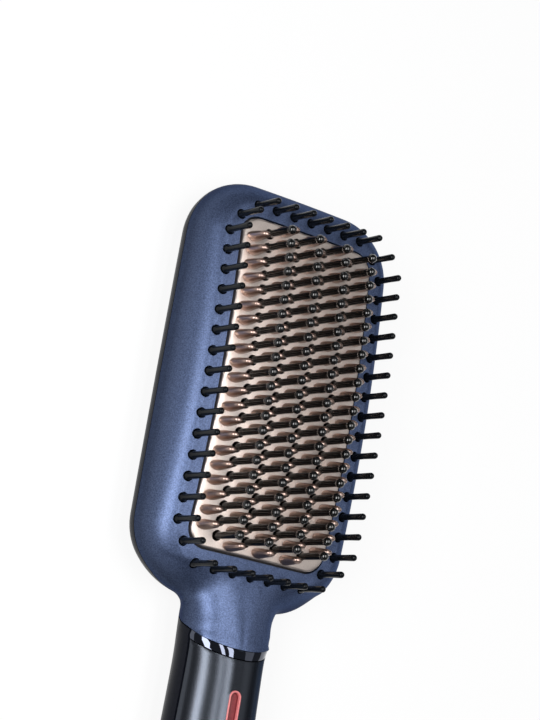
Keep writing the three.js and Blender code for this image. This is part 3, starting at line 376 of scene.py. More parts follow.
def finish(name, dark, light, roughness, grain=2000.0, metallic=0.0, coat=0.0, bump=0.0, gloss=0.5,
           **sockets):
    """A material: mottled colour, uneven roughness and a fine bump on one Principled shader."""
    material = bpy.data.materials.new(name)
    material.use_nodes = True
    tree = material.node_tree
    shader = tree.nodes["Principled BSDF"]
    colour = use_group(tree, FINE_GRAIN, Scale=grain, Dark=(*dark, 1), Light=(*light, 1))
    marks = use_group(tree, HANDLING, Low=roughness[0], High=roughness[1])
    wire(tree, (colour, "Color", shader, "Base Color"), (marks, "Roughness", shader, "Roughness"))
    set_inputs(shader, Metallic=metallic, Coat_Weight=coat, Specular_IOR_Level=gloss, **sockets)
    if bump:
        relief = set_inputs(add_node(tree, "ShaderNodeBump"), Strength=bump, Distance=0.0001)
        wire(tree, (colour, "Grain", relief, "Height"), (relief, "Normal", shader, "Normal"))
    return material


# %% [markdown]
# The front shell is a pearl lacquer: metallic flakes in deep blue under a thin clear coat. The plate is
# satin, champagne-coated aluminium; its teeth carry a darker, browner copy of that finish, a painted shade.
# The handle's front is gunmetal lacquer and the ring above it a dark mirror. The pins are satin black, and
# the balls of the bristles have a clear gloss. A specular tint darkens a metallic finish toward grazing
# angles. The frame's coral strip under the slot is a darker copy of the lining's coral, a painted shade for
# the slot's deep floor. Each finish belongs to a slot of the frame, and three pieces have one of their own.

# %% Finishes
FINISH = {
    "blue_lacquer": finish(
        "pearl_blue_lacquer", (0.064, 0.087, 0.164), (0.132, 0.179, 0.316), (0.46, 0.52), grain=2600,
        metallic=0.95, coat=0.08, bump=0.06, Coat_Roughness=0.3, Specular_Tint=(0.28, 0.32, 0.44, 1)),
    "black_gloss": finish(
        "black_shell", (0.004, 0.005, 0.008), (0.008, 0.009, 0.014), (0.26, 0.36), grain=2500, gloss=0.06),
    "gunmetal": finish(
        "gunmetal_lacquer", (0.046, 0.052, 0.063), (0.066, 0.073, 0.088), (0.25, 0.28), grain=4000,
        metallic=1.0, bump=0.02, Specular_Tint=(0.35, 0.37, 0.42, 1)),
    "mirror_black": finish(
        "dark_mirror", (0.080, 0.088, 0.115), (0.088, 0.096, 0.125), (0.02, 0.04), grain=600, metallic=1.0),
    "champagne_plate": finish(
        "champagne_coating", (0.63, 0.545, 0.495), (0.72, 0.635, 0.585), (0.40, 0.46), grain=3000,
        metallic=1.0, bump=0.03),
    # A darker, browner copy of the plate's coating: painted shade on the teeth's sides.
    "plate_teeth_painted_shade": finish(
        "tooth_coating_painted_shade", (0.45, 0.32, 0.27), (0.53, 0.39, 0.33), (0.31, 0.37), grain=3000, metallic=1.0,
        bump=0.02),
    "pin_black": finish(
        "satin_pin_plastic", (0.002, 0.003, 0.004), (0.005, 0.006, 0.008), (0.15, 0.20), grain=3000,
        gloss=0.14),
    "bristle_stems": finish(
        "stem_plastic", (0.002, 0.002, 0.002), (0.004, 0.004, 0.004), (0.08, 0.12), grain=1500, gloss=0.25),
    "ball_black": finish(
        "ball_plastic", (0.002, 0.002, 0.002), (0.003, 0.003, 0.003), (0.05, 0.08), grain=1500, gloss=0.1,
        coat=1.0, Coat_Roughness=0.04, Coat_IOR=1.6),
    "slot_lining": finish(
        "coral_plastic", (0.72, 0.18, 0.18), (0.80, 0.24, 0.24), (0.32, 0.42), grain=1800,
        Subsurface_Weight=0.1),
    # A darker copy of the lining's coral: painted shade for the slot's deep floor, on the frame's sliding
    # strip.
    "coral": finish("painted_shade_coral_plastic", (0.15, 0.017, 0.021), (0.21, 0.027, 0.033), (0.40, 0.50)),
    "heat_plastic": finish(
        "heat_plastic", (0.010, 0.008, 0.008), (0.018, 0.015, 0.014), (0.5, 0.6), grain=2500),
    "gland_rubber": finish(
        "gland_rubber", (0.008, 0.008, 0.009), (0.014, 0.014, 0.015), (0.5, 0.62), grain=3000, bump=0.2),
    "steel": finish(
        "plain_steel", (0.42, 0.43, 0.44), (0.52, 0.53, 0.54), (0.25, 0.35), grain=5000, metallic=1.0),
    "contact_brass": finish(
        "contact_brass", (0.55, 0.39, 0.15), (0.64, 0.47, 0.2), (0.25, 0.35), grain=5000, metallic=1.0),
    "orange_film": finish("insulating_film", (0.48, 0.17, 0.03), (0.58, 0.23, 0.05), (0.3, 0.42), grain=1200),
    "ceramic_white": finish(
        "white_ceramic", (0.74, 0.72, 0.66), (0.82, 0.8, 0.75), (0.5, 0.62), grain=4000, bump=0.1),
    "component_grey": finish(
        "component_grey", (0.09, 0.095, 0.1), (0.12, 0.125, 0.13), (0.4, 0.52), grain=3000),
    "lead_white": finish("silicone_lead", (0.68, 0.66, 0.62), (0.76, 0.74, 0.7), (0.5, 0.6), grain=2500),
    "board_green": finish(
        "solder_mask", (0.02, 0.09, 0.035), (0.03, 0.12, 0.05), (0.25, 0.35), grain=900, coat=0.4),
    "clear_lens": finish(
        "clear_lens", (0.85, 0.88, 0.9), (0.9, 0.92, 0.94), (0.08, 0.14), grain=800, Transmission_Weight=0.6),
}

# %% Painted shade on the lacquer's lower sides
SHADE_LOW, SHADE_HIGH = 0.0125, 0.019  # heights in metres
SHADE_SHARE = 0.42  # of the colour, left at the lower height

lacquer_tree = FINISH["blue_lacquer"].node_tree
# The lacquer's colour is darkened toward the parting line: a painted shade for its dark lower sides.
painted_lacquer_shade = use_group(lacquer_tree, PAINTED_SEAM_SHADE, Low=SHADE_LOW, High=SHADE_HIGH, Share=SHADE_SHARE)
lacquer_base = lacquer_tree.nodes["Principled BSDF"].inputs["Base Color"]
lacquer_tree.links.new(lacquer_base.links[0].from_socket, painted_lacquer_shade.inputs["Color"])
lacquer_tree.links.new(painted_lacquer_shade.outputs["Color"], lacquer_base)

# %% [markdown]
# Pieces that nobody sees until the brush is opened keep their plain solids, and so do the screw heads in
# their recesses. Each still gets its real finish.

# %% Finishes of the frame's own pieces
for entry in frame["record"]["subparts"]:
    node = frame["nodes"][entry["node"]]
    node.data.materials.clear()
    node.data.materials.append(FINISH[entry["material_slot"]])

# %% [markdown]
# ## Camera
# The photograph was taken with a long lens from the left, looking down at the face. The camera stands where
# the photograph's bristle grid says, and a small lens shift centres the frame as the photograph does.

# %% Camera
CAMERA_PLACE = (-0.3573, -0.0316, 0.5488)
CAMERA_TURN = [radians(angle) for angle in (6.621, -36.722, 11.467)]
CAMERA_LENS = 103.8  # on a 36 mm sensor
CAMERA_SHIFT = (-0.0841, -0.0665)

camera_data = bpy.data.cameras.new("camera")
set_all(camera_data, lens=CAMERA_LENS, sensor_width=36, sensor_fit="AUTO", clip_end=20)
camera_data.shift_x, camera_data.shift_y = CAMERA_SHIFT
camera = bpy.data.objects.new("camera", camera_data)
set_all(camera, location=CAMERA_PLACE, rotation_euler=CAMERA_TURN)
scene.collection.objects.link(camera)
scene.camera = camera

# %% [markdown]
# ## The body's skin
# Head, neck and handle have one smooth outer form that four shells share. Its outline runs from the handle's
# end up one side, across the top and down the other side. It is extruded inwards and upwards in the small
# steps of a quarter ellipse, which makes the shoulder, and inwards and downwards for the back. The flat faces
# left in the middle are bridged from left to right.

# %% Outline
TOP_COLUMNS, CORNER_STEPS, SIDE_STEPS, ARC_STEPS = 20, 18, 22, 10
HANDLE_STEPS, HANDLE_CROWDING = 64, 1.5
TAIL = 20  # the handle runs this far past its end before it is cut


def arc(cx, cy, radius, start, end, steps, into_neck=False):
    """Points after the first on an arc, with the share of neck that each has."""
    points = []
    for i in range(1, steps + 1):
        t = i / steps
        angle = mix(start, end, t)
        neck = ease(t) if into_neck else 0
        points.append((cx + radius * cos(angle), cy + radius * sin(angle), neck))
    return points


def right_side():
    corner_x, corner_y = HALF_WIDTH - TOP_CORNER, HEAD_TOP - TOP_CORNER
    points = [(corner_x, HEAD_TOP, 0)]
    points += arc(corner_x, corner_y, TOP_CORNER, pi / 2, 0, CORNER_STEPS)
    points += [(HALF_WIDTH, mix(corner_y, CORNER_Y, i / SIDE_STEPS), 0) for i in range(1, SIDE_STEPS + 1)]
    middle = pi / 4
    points += arc(HALF_WIDTH - LOWER_CORNER, CORNER_Y, LOWER_CORNER, 0, -middle, ARC_STEPS)
    slide = (LOWER_CORNER - LOWER_SWEEP) * cos(middle)
    sweep_x, sweep_y = HALF_WIDTH - LOWER_CORNER + slide, CORNER_Y - slide
    reach = LOWER_SWEEP + NECK_FILLET
    sweep_end = acos((HANDLE_WIDTHS[0][1] + NECK_FILLET - sweep_x) / reach)
    points += arc(sweep_x, sweep_y, LOWER_SWEEP, -middle, -sweep_end, ARC_STEPS)
    fillet_x, fillet_y = sweep_x + reach * cos(sweep_end), sweep_y - reach * sin(sweep_end)
    points += arc(fillet_x, fillet_y, NECK_FILLET, pi - sweep_end, pi, ARC_STEPS, True)
    for i in range(1, HANDLE_STEPS + 1):
        y = mix(fillet_y, HANDLE_END - TAIL, (i / HANDLE_STEPS) ** HANDLE_CROWDING)
        points.append((along(HANDLE_WIDTHS, y), y, 1))
    return points


def with_normals(points):
    """Adds the outward direction at each point of the right side."""
    normals = [(0, 1)]
    for (ax, ay, _), (bx, by, _) in zip(points, points[2:]):
        length = hypot(bx - ax, by - ay)
        normals.append(((ay - by) / length, (bx - ax) / length))
    normals.append((1, 0))
    return [(x, y, *normal, neck) for (x, y, neck), normal in zip(points, normals)]


RIGHT = with_normals(right_side())
LEFT = [(-x, y, -nx, ny, neck) for x, y, nx, ny, neck in RIGHT]
TOP = [(mix(-RIGHT[0][0], RIGHT[0][0], i / TOP_COLUMNS), HEAD_TOP, 0, 1, 0) for i in range(1, TOP_COLUMNS)]
OUTLINE = LEFT[::-1] + TOP + RIGHT
print(len(OUTLINE), "outline points")

# %% [markdown]
# The photograph shows a fine crease where the shoulder meets the flat face. Two loops close together hold
# it. The neck is smoothed into one saddle, and then swells a little where it leans to the side.

# %% Body skin
FRONT_STEPS = [0.1, 0.2, 0.3, 0.4, 0.5, 0.6, 0.7, 0.79, 0.87, 0.935, 1.0]
BACK_STEPS = [0.12, 0.25, 0.38, 0.5, 0.62, 0.74, 0.85, 0.93, 1.0]
CREASE_LOOP = 0.8
NECK_ROUNDS, NECK_SOFT, NECK_SOFT_LOW = 60, (-77.5, -57.0), -14.0
NECK_FILL, NECK_FILL_RANGE, NECK_FILL_FADE = 1.8, (-80.5, -60.0), 7.0
NECK_TOP, NECK_TOP_HALF, NECK_TOP_LOW = (-77.5, -60.5), 9.0, -7.0


def width_in(head_width, x, neck):
    """How far a curve reaches inward: a set width on the head, nearly half of the handle's."""
    return mix(head_width, max(abs(x) - HANDLE_FLAT, 0), neck)


def front_place(point, t, inset):
    x, y, nx, ny, neck = point
    turn = mix(HEAD_CREASE, HANDLE_CREASE, neck)
    width = width_in(SHOULDER, x, neck)
    edge_z = front_z(x - nx * width, y - ny * width) - inset
    inward = inset + (width - inset) * (1 - cos(turn * t)) / (1 - cos(turn))
    widest = mix(HEAD_SEAM, SEAM_Z, neck)
    return (x - nx * inward, y - ny * inward, mix(widest, edge_z, sin(turn * t) / sin(turn)))


def crease_place(point, inset):
    x, y, nx, ny, neck = point
    width = width_in(SHOULDER, x, neck) + CREASE_LOOP
    x, y = x - nx * width, y - ny * width
    return (x, y, front_z(x, y) - inset)


def back_place(point, t, inset):
    x, y, nx, ny, neck = point
    turn = pi / 2 * t
    inward = inset + (width_in(BACK_CURVE, x, neck) - inset) * (1 - cos(turn))
    widest = mix(HEAD_SEAM, SEAM_Z, neck)
    return (x - nx * inward, y - ny * inward, mix(widest, FLOOR_Z + inset, sin(turn)))


def close_middle(bm, chain, height):
    left, right = chain[:len(LEFT)][::-1], chain[-len(RIGHT):]
    fill_across(bm, left, right, TOP_COLUMNS, height)


def bulged(x, y):
    """Sides and top of the head swell a little."""
    share = min(1, abs(x) / HALF_WIDTH)
    side = SIDE_BULGE * max(0, 1 - (y / HEAD_TOP) ** 2) * share**2
    lift = TOP_BULGE * (1 - share**2) * y / HEAD_TOP if y > 0 else 0
    return x + copysign(side, x), y + lift


def smooth_rounds(bm, verts, lengthwise):
    for _ in range(NECK_ROUNDS):
        bmesh.ops.smooth_vert(bm, verts=verts, factor=0.5, use_axis_x=True, use_axis_y=lengthwise,
                              use_axis_z=True)


def soften_neck(bm):
    """Turns the valley between face and handle into one soft saddle."""
    low, high = NECK_SOFT
    smooth_rounds(bm, [v for v in bm.verts if low < v.co.y < high and v.co.z > NECK_SOFT_LOW], True)


def fill_shoulders(bm):
    """Swells the neck where it leans to the side, so that its waist stays as full as the ring."""
    bm.normal_update()
    low, high = NECK_FILL_RANGE
    for vert in bm.verts:
        share = ease((vert.co.y - low) / NECK_FILL_FADE) * ease((high - vert.co.y) / NECK_FILL_FADE)
        lean = 2 * abs(vert.normal.x) * vert.normal.z
        if share > 0 and lean > 0:
            vert.co += vert.normal * (NECK_FILL * share * lean)
    low, high = NECK_TOP
    top = [v for v in bm.verts if low < v.co.y < high and v.co.z > NECK_TOP_LOW]
    smooth_rounds(bm, [v for v in top if abs(v.co.x) < NECK_TOP_HALF], False)


def body_skin(inset):
    bm = bmesh.new()
    seam = start_chain(bm, [front_place(p, 0, inset) for p in OUTLINE])
    chain = seam
    for t in FRONT_STEPS:
        chain = extrude_chain(bm, chain, [front_place(p, t, inset) for p in OUTLINE])
    chain = extrude_chain(bm, chain, [crease_place(p, inset) for p in OUTLINE])
    close_middle(bm, chain, lambda x, y: front_z(x, y) - inset)
    chain = seam
    for t in BACK_STEPS:
        chain = extrude_chain(bm, chain, [back_place(p, t, inset) for p in OUTLINE])
    close_middle(bm, chain, lambda x, y: FLOOR_Z + inset)
    join_up(bm, SKIN_JOIN)
    for vert in bm.verts:
        vert.co.x, vert.co.y = bulged(vert.co.x, vert.co.y)
    soften_neck(bm)
    fill_shoulders(bm)
    return bm


outer_skin = body_skin(0)
handle_skin = body_skin(HANDLE_INSET)
print(len(outer_skin.faces), "faces in the skin")

# %% [markdown]
# The shells part along a line in side view. It runs level along the head, dips to a tip at the neck, and
# climbs along the leaning plane of the ring to the handle's own seam. The skin is bisected along that line,
# the faces of the other shells are deleted, and the wall follows.

# %% Parting lines
NECK_TIP = [(-61, HEAD_SEAM), (-66, -17.6)]
TIP_Z = -20.8
CUT_REACH, CUT_JOIN = 1.5, 0.04
FAR = 60  # above and below everything


def ring_y(z, shift=0.0):
    return RING_Y + RING_SLOPE * (RING_Z - z) - shift


def level_at(line, y):
    """Height of a parting line at y; the line runs toward the handle's end."""
    if y >= line[0][0]:
        return line[0][1]
    for (y0, z0), (y1, z1) in zip(line, line[1:]):
        if y >= y1:
            return mix(z0, z1, (y - y0) / (y1 - y0))
    return line[-1][1]


def cut_along(bm, line):
    """Bisects the skin along each stretch of a line in (y, z)."""
    for (y0, z0), (y1, z1) in zip(line, line[1:]):
        low, high = min(y0, y1) - CUT_REACH, max(y0, y1) + CUT_REACH
        faces = [f for f in bm.faces if low < f.calc_center_median().y < high]
        edges = {e for f in faces for e in f.edges}
        verts = {v for f in faces for v in f.verts}
        bmesh.ops.bisect_plane(bm, geom=[*faces, *edges, *verts], dist=1e-4, plane_co=(0, y0, z0),
                               plane_no=Vector((0, z1 - z0, y0 - y1)).normalized())


def part_off(skin, lines, keep):
    """A copy of the skin, cut along the lines, with only the faces whose middle is kept."""
    bm = skin.copy()
    for line in lines:
        cut_along(bm, line)
    others = [f for f in bm.faces if not keep(*f.calc_center_median().yz)]
    bmesh.ops.delete(bm, geom=others, context="FACES")
    bmesh.ops.remove_doubles(bm, verts=bm.verts, dist=CUT_JOIN)
    return bm


def ring_line(shift):
    return [(ring_y(z, shift), z) for z in (TIP_Z - 4, 10)]


END_LINE = [(HANDLE_END, -FAR), (HANDLE_END, FAR)]
REAR_DROP = HEAD_SEAM - GAP
REAR_LINE = [
    (90, REAR_DROP), (NECK_TIP[0][0], REAR_DROP), (NECK_TIP[1][0] + GAP, NECK_TIP[1][1] - GAP),
    (ring_y(TIP_Z, GAP / 2), TIP_Z - 2 * GAP), (ring_y(HANDLE_SEAM, GAP), HANDLE_SEAM - GAP),
    (HANDLE_END - TAIL, HANDLE_SEAM - GAP),
]
TIP_LINE = [*NECK_TIP, (ring_y(TIP_Z), TIP_Z)]
SEAM_LINE = [(-68, HANDLE_SEAM), (HANDLE_END - TAIL, HANDLE_SEAM)]

# %% [markdown]
# ## Head front shell
# The blue shell has a window for the plate and a round hole for each border pin. The cutters are a prism and
# a crowd of cones, joined into one mesh.

# %% Border pin places
COLUMN_X, PIN_PITCH, PINS_PER_COLUMN = 29.55, 6.5, 15
PIN_ROWS = [(56.3, 6.74, 7), (-57.55, 6.66, 5)]
CORNER_PINS = [(26.15, 51.6), (26.15, -51.5), (20.25, -57.15)]
PIN_HOLE, PIN_HOLE_FLARE, PIN_HOLE_SIDES = 1.55, 0.15, 22


def spread(count, pitch):
    return [pitch * (i - (count - 1) / 2) for i in range(count)]


pin_places = [(side * COLUMN_X, y) for side in (1, -1) for y in spread(PINS_PER_COLUMN, PIN_PITCH)]
pin_places += [(side * x, y) for side in (1, -1) for x, y in CORNER_PINS]
pin_places += [(x, y) for y, pitch, count in PIN_ROWS for x in spread(count, pitch)]
print(len(pin_places), "border pins")


# %% Cutters
def rounded_rectangle(half_x, half_y, corner, steps=10, middle_y=0.0):
    """Corner points of a rounded rectangle, clockwise from the top left."""
    points = []
    for sx, sy, start in ((-1, 1, pi), (1, 1, pi / 2), (1, -1, 0), (-1, -1, -pi / 2)):
        cx, cy = sx * (half_x - corner), sy * (half_y - corner)
        for i in range(steps + 1):
            angle = start - pi / 2 * i / steps
            points.append((cx + corner * cos(angle), middle_y + cy + corner * sin(angle)))
    return points


def prism(name, outline, low, high):
    bm = bmesh.new()
    base = bm.faces.new([bm.verts.new((x, y, low)) for x, y in outline])
    made = bmesh.ops.extrude_face_region(bm, geom=[base])["geom"]
    top = [v for v in made if isinstance(v, bmesh.types.BMVert)]
    bmesh.ops.translate(bm, verts=top, vec=(0, 0, high - low))
    face_outward(bm)
    return new_object(bm, name)


def round_cutters(name, places, radius, low, high, sides, flare=0.0):
    bm = bmesh.new()
    for x, y in places:
        bmesh.ops.create_cone(bm, cap_ends=True, segments=sides, radius1=radius, radius2=radius + flare,
                              depth=high - low, matrix=Matrix.Translation((x, y, (low + high) / 2)))
    return new_object(bm, name)


# %% Front shell
SHELL_RIM, FINE_RIM = 0.3, 0.2
WINDOW_CUT, PIN_CUT = (-10, 10), (-12, 3)  # how low and how high the cutters reach


def in_front(y, z):
    return y > ring_y(z) and (y < TIP_LINE[-1][0] or z > level_at(TIP_LINE, y))


front_shell = new_object(part_off(outer_skin, [TIP_LINE, ring_line(0)], in_front), "front_shell")
add_wall(front_shell, WALL, SHELL_RIM)
window_outline = rounded_rectangle(PLATE_X + WINDOW_GAP, PLATE_Y + WINDOW_GAP, PLATE_CORNER + WINDOW_GAP)
window = prism("window_cutter", window_outline, *WINDOW_CUT)
pin_holes = round_cutters("pin_hole_cutter", pin_places, PIN_HOLE, *PIN_CUT, PIN_HOLE_SIDES, PIN_HOLE_FLARE)
cut_away(front_shell, [window, pin_holes])
finish_piece(front_shell, "brush", "head_front_shell", "blue_lacquer")

# %% [markdown]
# ## Rear shell
# The black rear shell is a single moulding for head and handle, held by screws in deep round recesses.

# %% Rear shell
HEAD_SCREW_X, HEAD_SCREW_Y = 30.35, 38
HANDLE_SCREWS = [(0, -174), (0, -204)]
SCREW_RECESS, SCREW_SEAT, RECESS_LOW, RECESS_SIDES = 2.7, -21, -30, 24
SLEEVE_RADIUS, SLEEVE_BORE, SLEEVE_TOP, SLEEVE_INSIDE = 3.6, 1.5, -14.2, 0.35
SLEEVE = [
    (SCREW_RECESS, -25.2), (SCREW_RECESS, SCREW_SEAT), (SLEEVE_BORE, SCREW_SEAT), (SLEEVE_BORE, SLEEVE_TOP),
    (SLEEVE_RADIUS, SLEEVE_TOP), (SLEEVE_RADIUS, -24.5),
]

rear_shell = new_object(part_off(outer_skin, [REAR_LINE, END_LINE],
                                 lambda y, z: y > HANDLE_END and z < level_at(REAR_LINE, y)), "back_shell")
add_wall(rear_shell, WALL, SHELL_RIM)
screw_places = [(sx * HEAD_SCREW_X, sy * HEAD_SCREW_Y) for sx in (1, -1) for sy in (1, -1)] + HANDLE_SCREWS
cut_away(rear_shell, [round_cutters("recess_cutter", screw_places, SCREW_RECESS, RECESS_LOW, SCREW_SEAT,
                                    RECESS_SIDES)])


def underside(x):
    """Height of the head's back at x."""
    inward = min(max(HALF_WIDTH - abs(x), 0) / BACK_CURVE, 1)
    return mix(HEAD_SEAM, FLOOR_Z, sqrt(1 - (1 - inward) ** 2))


def recess_sleeve(bm, x, y):
    """The wall of one screw recess, with the seat of the screw's head, kept inside the back."""
    first = len(bm.verts)
    chain = start_chain(bm, [(x + radius, y, z) for radius, z in SLEEVE], closed=True)
    spin_chain(bm, chain, RECESS_SIDES, (x, y, 0), closed=True)
    for vert in list(bm.verts)[first:]:
        vert.co.z = max(vert.co.z, underside(vert.co.x) + SLEEVE_INSIDE)


bm = bmesh.new()
bm.from_mesh(rear_shell.data)
for screw_x, screw_y in screw_places:
    recess_sleeve(bm, screw_x, screw_y)
bm.to_mesh(rear_shell.data)
bm.free()
finish_piece(rear_shell, "brush", "rear_shell", "black_gloss")

# %% [markdown]
# ## Ring and handle front
# Both use the skin that lies a little inside the neck's. The ring is a narrow band between two leaning cuts.
# The handle's front shell starts behind it and has the slot of the slide switch and a pinhole for the light.

# %% Ring
RING_WALL = 1.6

ring_region = part_off(handle_skin, [SEAM_LINE, ring_line(GAP), ring_line(GAP + RING_WIDTH)],
                       lambda y, z: z > HANDLE_SEAM and ring_y(z, GAP + RING_WIDTH) < y < ring_y(z, GAP))
trim_ring = new_object(ring_region, "mirror_ring")
add_wall(trim_ring, RING_WALL, FINE_RIM)
finish_piece(trim_ring, "brush", "trim_ring", "mirror_black")

# %% Handle front
SLOT_TOP, SLOT_LENGTH, SLOT_WIDTH, SLOT_LIP = -92.5, 21.0, 3.1, 0.55
SLOT_MIDDLE = SLOT_TOP - SLOT_LENGTH / 2
LIGHT_Y, LIGHT_RADIUS, LIGHT_SIDES = -130.0, 1.2, 24
HANDLE_START = 2 * GAP + RING_WIDTH
HANDLE_CUT, SLOT_FIT, LIGHT_FIT = (-8, 5), 0.05, 0.1


def slot_outline(grow):
    half_x = SLOT_WIDTH / 2 + grow
    return rounded_rectangle(half_x, SLOT_LENGTH / 2 + grow, half_x - 0.001, 14, SLOT_MIDDLE)


handle_region = part_off(handle_skin, [SEAM_LINE, ring_line(HANDLE_START), END_LINE],
                         lambda y, z: z > HANDLE_SEAM and HANDLE_END < y < ring_y(z, HANDLE_START))
handle_front = new_object(handle_region, "handle_front")
add_wall(handle_front, WALL, FINE_RIM)
slot_cutter = prism("slot_cutter", slot_outline(SLOT_LIP + SLOT_FIT), *HANDLE_CUT)
light_hole = LIGHT_RADIUS + LIGHT_FIT
light_cutter = round_cutters("light_cutter", [(0, LIGHT_Y)], light_hole, *HANDLE_CUT, LIGHT_SIDES)
cut_away(handle_front, [slot_cutter, light_cutter])
finish_piece(handle_front, "brush", "handle_front_shell", "gunmetal")
outer_skin.free()
handle_skin.free()

# %% [markdown]
# ## Toothed plate
# The plate is a crowned slab with a soft edge. Round holes let the ball-tipped bristles through. The teeth
# between them are ovals, longer across the head than along it, that narrow to a blunt tip. One tooth is made
# once and copied to every place. The teeth are a piece of their own, because they carry a darker copy of the
# plate's finish, a painted shade for their sides.

# %% Plate slab
PLATE_HOLE, PLATE_HOLE_SIDES, PLATE_CUT = 1.7, 20, (-6, 3)
PLATE_COLUMNS, PLATE_ROWS, PLATE_CORNER_STEPS, PLATE_EDGE_STEPS = 24, 24, 8, 4


def plate_top(x, y):
    return crown(x, y) + PLATE_RAISE


def plate_loop(inset):
    """The slab's outline drawn in by an inset, clockwise from the top left, with equal columns."""
    half_x, half_y, corner = PLATE_X - inset, PLATE_Y - inset, PLATE_CORNER - inset
    flat_x, flat_y = half_x - corner, half_y - corner
    right = [(flat_x + corner * sin(a), flat_y + corner * cos(a))
             for a in (pi / 2 * i / PLATE_CORNER_STEPS for i in range(PLATE_CORNER_STEPS + 1))]
    right += [(half_x, mix(flat_y, -flat_y, i / PLATE_ROWS)) for i in range(1, PLATE_ROWS)]
    right += [(x, -y) for x, y in right[:PLATE_CORNER_STEPS + 1][::-1]]
    top = [(mix(-flat_x, flat_x, i / PLATE_COLUMNS), half_y) for i in range(1, PLATE_COLUMNS)]
    bottom = [(-x, -half_y) for x, _ in top]
    left = [(-x, y) for x, y in right[::-1]]
    return left, top, right, bottom


def plate_slab():
    bm = bmesh.new()
    side_count = len(plate_loop(0)[0])

    def places(inset, drop):
        left, top, right, bottom = plate_loop(inset)
        return [(x, y, plate_top(x, y) - drop) for x, y in left + top + right + bottom]

    def close(chain, drop):
        left, right = chain[:side_count][::-1], chain[side_count + PLATE_COLUMNS - 1:][:side_count]
        fill_across(bm, left, right, PLATE_COLUMNS, lambda x, y: plate_top(x, y) - drop)

    loops = [places(0, PLATE_THICKNESS), places(0, PLATE_EDGE)]
    for i in range(1, PLATE_EDGE_STEPS + 1):
        angle = pi / 2 * i / PLATE_EDGE_STEPS
        loops.append(places(PLATE_EDGE * (1 - cos(angle)), PLATE_EDGE * (1 - sin(angle))))
    foot, rim = loft(bm, loops)
    close(rim, 0)
    close(foot, PLATE_THICKNESS)
    join_up(bm, SKIN_JOIN)
    return new_object(bm, "toothed_plate")


BALL_ROWS, BALL_COLUMNS = 22, (1, 3)
ball_places = [(side * column * COLUMN_PITCH, y) for column in BALL_COLUMNS for side in (1, -1)
               for y in spread(BALL_ROWS, ROW_PITCH)]
plate_piece = plate_slab()
cut_away(plate_piece, [round_cutters("bristle_hole_cutter", ball_places, PLATE_HOLE, *PLATE_CUT,
                                     PLATE_HOLE_SIDES)])
finish_piece(plate_piece, "brush", "heating_plate", "champagne_plate")

# %% Teeth
TOOTH_SIDES = 14
TOOTH_STEPS = [  # half length, half width and height
    (2.60, 1.62, -0.9), (2.58, 1.60, 0.3), (2.46, 1.52, 1.6), (2.27, 1.38, 2.9), (2.06, 1.25, 4.1),
    (1.90, 1.17, 5.2), (1.76, 1.10, 6.1), (1.48, 0.94, 6.8), (1.02, 0.68, 7.2), (0.45, 0.30, 7.38),
]
TOOTH_COLUMNS = [(0, 23), (2, 23), (-2, 23), (4, 21), (-4, 21)]  # column and its number of teeth
tooth_places = [(column * COLUMN_PITCH, y) for column, rows in TOOTH_COLUMNS for y in spread(rows, ROW_PITCH)]
print(len(tooth_places), "teeth")


def add_copies(bm, template, places, height):
    """Copies a template to each place, raised to the surface there."""
    for x, y in places:
        copied = template.copy()
        copied.transform(Matrix.Translation((x, y, height(x, y))))
        bm.from_mesh(copied)
        bpy.data.meshes.remove(copied)


def tooth_template():
    """An oval foot that narrows in a soft curve to a blunt, rounded tip."""
    bm = bmesh.new()
    turns = [2 * pi * i / TOOTH_SIDES for i in range(TOOTH_SIDES)]
    loft(bm, [[(length * cos(turn), width * sin(turn), height) for turn in turns]
              for length, width, height in TOOTH_STEPS], capped=True)
    face_outward(bm)
    return to_mesh(bm, "tooth")


bm = bmesh.new()
add_copies(bm, tooth_template(), tooth_places, plate_top)
# The teeth take their own darker copy of the plate's finish, a painted shade.
finish_piece(new_object(bm, "plate_teeth_painted_shade"), "brush", "heating_plate", "champagne_plate")

# %% [markdown]
# ## Border pins and ball-tipped bristles
# Each is a profile spun round its own axis. The stiff pins have a broad foot in their hole, a straight shaft
# and a round tip. The bristles have a slimmer stem under a ball, and the balls are a piece of their own with
# a clearer gloss. All follow the crowned face.


# %% Spun templates
def spun(profile, steps, name):
    bm = bmesh.new()
    spin_chain(bm, start_chain(bm, [(radius, 0, z) for radius, z in profile]), steps)
    join_up(bm)
    return to_mesh(bm, name)


def round_end(radius, centre_z, start, steps):
    """Profile points of a ball from an angle below its middle up to its top."""
    angles = [mix(start, pi / 2, i / steps) for i in range(steps + 1)]
    return [(radius * cos(a), centre_z + radius * sin(a)) for a in angles]


# %% Border pins
PIN_HEIGHT, PIN_RADIUS, PIN_COLLAR, PIN_SIDES = 11.55, 1.05, 1.3, 18
PIN_FOOT = -WALL - 2.5
PIN_FRAME_WIDTH, PIN_FRAME_DROP, PIN_FRAME_CORNER, PIN_FRAME_THICKNESS = 2.9, 1.7, 12, 1.6

pin_profile = [(0, PIN_FOOT), (PIN_COLLAR, PIN_FOOT), (PIN_COLLAR, 0.15), (PIN_COLLAR - 0.08, 0.4),
               (PIN_RADIUS - 0.04, 1.3), (PIN_RADIUS - 0.08, PIN_HEIGHT / 2)]
pin_profile += round_end(PIN_RADIUS, PIN_HEIGHT - PIN_RADIUS, 0, 5)
middle_y = (PIN_ROWS[0][0] + PIN_ROWS[1][0]) / 2
half_y = (PIN_ROWS[0][0] - PIN_ROWS[1][0]) / 2


